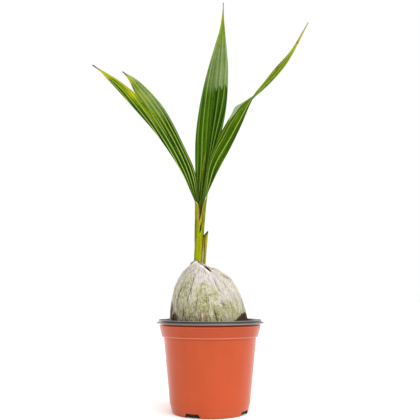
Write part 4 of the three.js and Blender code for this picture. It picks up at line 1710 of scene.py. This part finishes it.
def blade_normals(leaf, side, across, along):
    """Directions square to the half blade, from its slopes both ways."""
    step = NORMAL_STEP
    across = np.clip(across, step, 1 - step)
    along = np.clip(along, 0.005 - ROOT_SHARE, 0.995)
    ahead, _ = blade_surface(leaf, side, across, np.minimum(along + step, 1))
    behind, _ = blade_surface(leaf, side, across, np.maximum(along - step, -ROOT_SHARE))
    outer, _ = blade_surface(leaf, side, across + step, along)
    inner, _ = blade_surface(leaf, side, across - step, along)
    normal = np.cross(ahead - behind, outer - inner)
    return normal / np.maximum(np.linalg.norm(normal, axis=1), 1e-12)[:, None]


class Pleats:
    """Where each vertex of a half blade lies among its pleats, and what they make of it."""

    def __init__(self, half, across, along, width):
        self.across = across
        self.along = along
        self.width = width
        self.phase, spacing, self.strength = pleat_phase(across, along, half["nerves"])
        self.away = np.abs(self.phase - np.round(self.phase))
        self.pleat_width = spacing * width
        self.beside_nerve = self.away * self.pleat_width
        self.to_margin = (1 - across) * width

    def offset(self, most_depth):
        """How far folds and nerves stand out, flat at both edges and where the blade is narrow."""
        open_share = smooth_step(self.width, 4 * MM, 20 * MM) * smooth_step(self.along, -0.01, 0.12)
        depth = np.minimum(most_depth, DEEPEST_PLEAT * self.pleat_width)
        fold = (0.3 * (1 - 4 * self.away) + 0.7 * np.cos(2 * math.pi * self.away)) * depth
        for turns, height in FINE_FOLDS:
            fold += height * MM * np.cos(2 * math.pi * turns * self.phase)
        from_rib = self.across * self.width
        room = smooth_step(self.to_margin, 0, FOLDED_EDGE) * smooth_step(from_rib, 0, FOLDED_EDGE)
        return fold * open_share * room + NERVE_RISE * self.strength * bell(self.beside_nerve, 0, 0.6 * MM)

    def nerve(self):
        """The pale lines along the nerves, partly the nerves' own colour and partly a painted highlight on
        the pleats' ridges, fainter near the blade's foot.
        """
        line = self.strength * bell(self.beside_nerve, 0, 0.8 * MM)
        # A broad painted highlight along each pleat's ridge
        ridge = 0.10 * np.clip(1 - 3 * self.away, 0, 1)
        return (line + ridge) * (0.3 + 0.7 * smooth_step(self.along, 0, 0.16)) * self.fade()

    def painted_fold_shade(self):
        """Painted shade in the folds between two nerves and close beside each."""
        from_fold = (0.5 - self.away) * self.pleat_width
        dark = 0.8 * np.clip(1 - from_fold / (1.8 * MM), 0, 1)
        dark += 0.9 * self.strength * bell(self.beside_nerve, 2.3 * MM, 0.9 * MM)
        return np.clip(dark, 0, 1) * self.fade()

    def fade(self):
        """0 where the blade is too narrow to show its nerves and folds."""
        return smooth_step(self.width, 1.0 * MM, 6 * MM)


def half_blade(name, leaf, side, marks):
    """One half of a leaf as a pleated sheet, with the masks that its finish reads."""
    piece, across, along = sheet_primitive(name, HALF_COLUMNS, BLADE_ROWS)
    along = along * (1 + ROOT_SHARE) - ROOT_SHARE
    half = leaf[side]
    facing = 1 if side == "near" else -1
    signed = -facing * across
    surface, width = blade_surface(leaf, side, across, along)
    pleats = Pleats(half, across, along, width)
    offset = facing * pleats.offset(leaf["pleat_depth"] * MM)
    offset += half["bulge"] * width * np.sin(math.pi * across)
    move_vertices(piece, surface + blade_normals(leaf, side, across, along) * offset[:, None])
    masks = marks(signed, along, pleats.phase)
    # The folds' painted shade and the marks' painted shade are kept as one mask
    painted_fold_shade = pleats.painted_fold_shade() * half["fold_shade"] + 0.8 * masks.pop("shade")
    margin = fade_out(pleats.to_margin, 0.2 * MM, 0.9 * MM)
    store_leaf_masks(piece, masks, pleats.nerve(), painted_fold_shade, margin)
    draw_blade_map(piece, signed * BLADE_MAP_WIDTH, along * SmoothCurve(half["margin"]).length)
    edge = np.minimum(pleats.to_margin, (1 - along) * 0.3)
    thicken(piece, BLADE_THICKNESS, smooth_step(edge, 0, 3 * MM))
    return finished(piece, LEAF, 60)


def store_leaf_masks(piece, masks, nerve, painted_fold_shade, margin):
    """Keeps a leaf's colours and its lines for the finish, each as a share from 0 to 1."""
    masks = dict(masks, nerve=nerve, painted_fold_shade=painted_fold_shade, margin=margin)
    store(piece, **{name: np.clip(values, 0, 1) for name, values in masks.items()})


def draw_blade_map(piece, across, along):
    """A map in metres across and along the blade, for the fine lines of its finish."""
    mesh = piece.data
    layer = mesh.uv_layers[0] if mesh.uv_layers else mesh.uv_layers.new()
    layer.name = "blade"
    corners = np.empty(len(mesh.loops), np.int32)
    mesh.loops.foreach_get("vertex_index", corners)
    pairs = np.stack([across[corners], along[corners]], -1)
    layer.data.foreach_set("uv", pairs.astype(np.float32).ravel())


# Colours of each leaf, by the share across it, below 0 on its near half and above on its far half, and
# along it. Each soft spot is a strength, a middle and its reach both ways.


def left_marks(across, along, _):
    near = across < 0
    far = ~near
    tip = smooth_step(along, 0.62, 0.8)
    upper_edge = smooth_step(across, -0.7, -0.25) * near * smooth_step(along, 0.62, 0.76)
    flush = (0.35 + 0.4 * smooth_step(across, -0.3, -0.1)) * upper_edge
    flush += 0.25 * smooth_step(along, 0.5, 0.8) + 0.15 * fade_out(along, 0.02, 0.14)
    flush += (0.2 * tip + 0.9 * smooth_step(along, 0.85, 0.90)) * near
    flush += (0.35 * smooth_step(along, 0.6, 0.85) + 0.5 * smooth_step(along, 0.86, 0.93)) * far
    flush += spots_on(across, along, [(0.45, (-0.3, 0.6), (0.25, 0.2)), (0.4, (0.3, 0.6), (0.3, 0.3))])
    painted_sheen = 0.75 * smooth_step(along, 0.5, 0.72) * smooth_step(across, 0.2, 0.5)
    painted_sheen += spots_on(across, along, [(0.5, (0.08, 0.76), (0.2, 0.12))])
    rust = smooth_step(across, -0.07, -0.02) * near * smooth_step(along, 0.73, 0.78)
    scorch = spots_on(across, along, [(0.5, (0.0, 0.632), (0.07, 0.035))])
    scorch += 0.12 * rust * fade_out(along, 0.82, 0.86) + 0.5 * smooth_step(along, 0.94, 0.96)
    dry = np.where(near, smooth_step(along, 0.965, 0.98), smooth_step(along, 0.962, 0.97))
    shade = 0.55 * fade_out(along, 0.08, 0.3) + spots_on(across, along, [
        (0.5, (-0.85, 0.38), (0.35, 0.3)), (0.4, (0.1, 0.4), (0.3, 0.25)),
        (0.25, (-0.9, 0.72), (0.3, 0.14)), (0.7, (0.14, 0.8), (0.06, 0.16)),
    ])
    return {"flush": flush, "painted_sheen": painted_sheen * far, "scorch": scorch, "dry": dry, "shade": shade}


def middle_marks(across, along, phase):
    far = across > 0
    begins = np.where(far, 0.53 + 0.025 * np.abs(np.cos(math.pi * phase)), 0.50)
    softness = np.where(far, 0.012, 0.09)
    painted_sheen = smooth_step(along, begins, begins + softness) * fade_out(along, 0.72, 0.9)
    midrib = np.interp(along, (0, 0.03, 0.13, 0.19, 0.23), (0, -0.1, -0.34, -0.30, -0.24))
    beside = np.abs(across - midrib)
    low = fade_out(along, 0.19, 0.25)
    streak = bell(beside, 0, 0.035) * low
    flush = 0.85 * smooth_step(along, 0.66, 0.95) + 0.55 * streak
    flush += spots_on(across, along, [(0.15, (-0.32, 0.35), (0.42, 0.35))])
    shade = 0.9 * bell(beside, 0.17, 0.09) * low + 0.8 * fade_out(along, 0.08, 0.22) * far
    shade = (shade + 0.55 * fade_out(along, 0.04, 0.18)) * (1 - streak)
    shade += spots_on(across, along, [(0.4, (0.4, 0.36), (0.5, 0.3))])
    flecks = 0.45 * streak + 0.4 * smooth_step(along, 0.88, 0.95) + spots_on(across, along, [
        (1, (0.02, 0.765), (0.1, 0.012)), (1, (-0.16, 0.775), (0.06, 0.010)),
        (1, (0.22, 0.745), (0.05, 0.010)),
    ])
    return {
        "flush": flush, "painted_sheen": painted_sheen * np.where(far, 0.75, 0.5), "scorch": 0.8 * flecks,
        "dry": smooth_step(along, 0.965, 0.98), "shade": shade,
    }


def right_marks(across, along, _):
    painted_sheen = spots_on(across, along, [(2.6, (-0.8, 0.455), (0.55, 0.07))])
    flush = smooth_step(along, 0.5, 0.6) * (0.30 + 0.45 * across * across)
    flush += 0.6 * smooth_step(along, 0.78, 0.9) + 0.16 * smooth_step(along, 0.08, 0.2)
    flush += spots_on(across, along, [(0.12, (0.4, 0.46), (0.6, 0.1))])
    shade = 0.35 * fade_out(along, 0.02, 0.14) + spots_on(across, along, [
        (0.9, (-0.2, 0.42), (0.14, 0.1)), (0.3, (0.9, 0.25), (0.3, 0.3)), (0.3, (0.0, 0.66), (0.4, 0.16)),
    ])
    scorch = spots_on(across, along, [(0.8, (0.66, 0.73), (0.3, 0.022)), (0.8, (0, 0.893), (1.6, 0.012))])
    dry = 0.15 * smooth_step(along, 0.9, 0.93) + 0.3 * smooth_step(along, 0.985, 1)
    return {"flush": flush, "painted_sheen": painted_sheen, "scorch": scorch, "dry": dry, "shade": shade}


def make_rib(name, leaf, marks):
    """The leaf's rib: a tapering rod along it, half sunk in the blade."""
    rib = SmoothCurve(leaf["rib"])
    shares = np.linspace(0, 1, RIB_STEPS)
    base, tip = leaf["rib_radius"]
    radii = (base + (tip - base) * shares) * MM
    behind = np.array([0, RIB_SET_BACK, 0]) * radii[:, None]
    shift = np.array(BLADE_SHIFT) * smooth_step(shares, 0, SHIFT_REACH)[:, None]
    below = np.array(RIB_ROOT_STEPS)
    angles = np.full(below.shape, float(leaf["rib_root"]))
    sunk = foot(rib.at(0 * below), rib.at(0 * below + STEP_AHEAD), angles, below) + behind[0]
    places = [Vector(place) for place in np.vstack([sunk, rib.at(shares) + shift + behind])]
    vertices = []
    faces = []
    add_strand(vertices, faces, places, [radii[0]] * len(below) + list(radii), RIB_SIDES)
    piece = from_arrays(name, vertices, faces, [LEAF])
    along = np.repeat(np.concatenate([-ROOT_SHARE * below, shares]), RIB_SIDES)
    middle = np.zeros(along.shape)
    masks = marks(middle, along, middle)
    del masks["shade"]
    store_leaf_masks(piece, masks, 0.9, 0, 0)
    draw_blade_map(piece, middle, along * rib.length)
    smooth(piece, 60)
    return piece


def make_leaf(name, leaf, marks):
    pieces = [half_blade(name + "_" + side, leaf, side, marks) for side in ("near", "far")]
    pieces.append(make_rib(name + "_rib", leaf, marks))
    return join(pieces, name)


# Stage


def add_lamp(name, kind, place, target, power):
    bpy.ops.object.light_add(type=kind, location=place)
    lamp = bpy.context.active_object
    lamp.name = name
    lamp.data.energy = power
    lamp.rotation_euler = (Vector(target) - lamp.location).to_track_quat("-Z", "Y").to_euler()
    return lamp.data


def light_plant():
    for name, (place, size, power) in SOFTBOXES.items():
        add_lamp(name, "AREA", place, SOFTBOX_TARGET, power).size = size
    for name, (from_front, elevation, spread, strength) in SUNS.items():
        turn = math.radians(from_front)
        rise = math.radians(elevation)
        level = math.cos(rise)
        place = Vector((math.sin(turn) * level, -math.cos(turn) * level, math.sin(rise))) * SUN_DISTANCE
        add_lamp(name, "SUN", place, (0, 0, 0), strength).angle = math.radians(spread)


def set_stage():
    start_piece()
    bpy.ops.mesh.primitive_plane_add(size=FLOOR_SIZE)
    floor = name_piece("studio_floor")
    floor.data.materials.append(FLOOR)
    light_plant()
    white_studio()
    bpy.context.scene.view_settings.view_transform = "Standard"


def white_studio():
    """A white room that is brighter to look at than the light it gives."""
    world = bpy.data.worlds.new("white studio")
    bpy.context.scene.world = world
    world.use_nodes = True
    tree = world.node_tree
    background = tree.nodes["Background"]
    background.inputs["Color"].default_value = (1, 1, 1, 1)
    seen = tree.nodes.new("ShaderNodeLightPath").outputs["Is Camera Ray"]
    strength = tree.nodes.new("ShaderNodeMapRange")
    strength.inputs["To Min"].default_value = ROOM_LIGHT
    strength.inputs["To Max"].default_value = 1.0
    tree.links.new(seen, strength.inputs["Value"])
    tree.links.new(strength.outputs[0], background.inputs["Strength"])


def set_camera():
    tilt = math.radians(90 + CAMERA_TILT)
    bpy.ops.object.camera_add(location=(0, -CAMERA_DISTANCE, CAMERA_HEIGHT), rotation=(tilt, 0, 0))
    camera = bpy.context.active_object
    camera.name = "camera"
    camera.data.lens = CAMERA_LENS
    camera.data.sensor_width = CAMERA_SENSOR
    camera.data.clip_end = CAMERA_REACH
    bpy.context.scene.camera = camera


# Everything in place


def hand_over(piece, slot, *nodes):
    """The piece rides with the plant, and stands for the named solids of the frame."""
    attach(piece, "root")
    if nodes:
        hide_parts(*nodes)


set_camera()
hand_over(make_pot(), "pot_plastic", "pot")
hand_over(make_soil(), "soil", "potting_soil")
hand_over(make_chips(), "soil")
hand_over(make_soil_strands(), "soil")
hand_over(make_husk(), "husk_fibre", "husk")
hand_over(make_husk_fibres(), "husk_fibre")
hand_over(make_core(), "green_sheath", "stem")
hand_over(make_sheath("left_leaf_sheath", LEFT_SHEATH, LEFT_SHEATH_MARKS), "green_sheath", "sheath_left")
hand_over(make_sheath("right_leaf_sheath", RIGHT_SHEATH, RIGHT_SHEATH_MARKS), "green_sheath", "sheath_right")
hand_over(make_scale_leaf(), "dry_scale", "scale_leaf")
hand_over(make_leaf("left_pleated_leaf", LEFT_LEAF, left_marks), "green_leaf", "leaf_left")
hand_over(make_leaf("middle_pleated_leaf", MIDDLE_LEAF, middle_marks), "green_leaf", "leaf_middle")
hand_over(make_leaf("right_pleated_leaf", RIGHT_LEAF, right_marks), "green_leaf", "leaf_right")
set_stage()
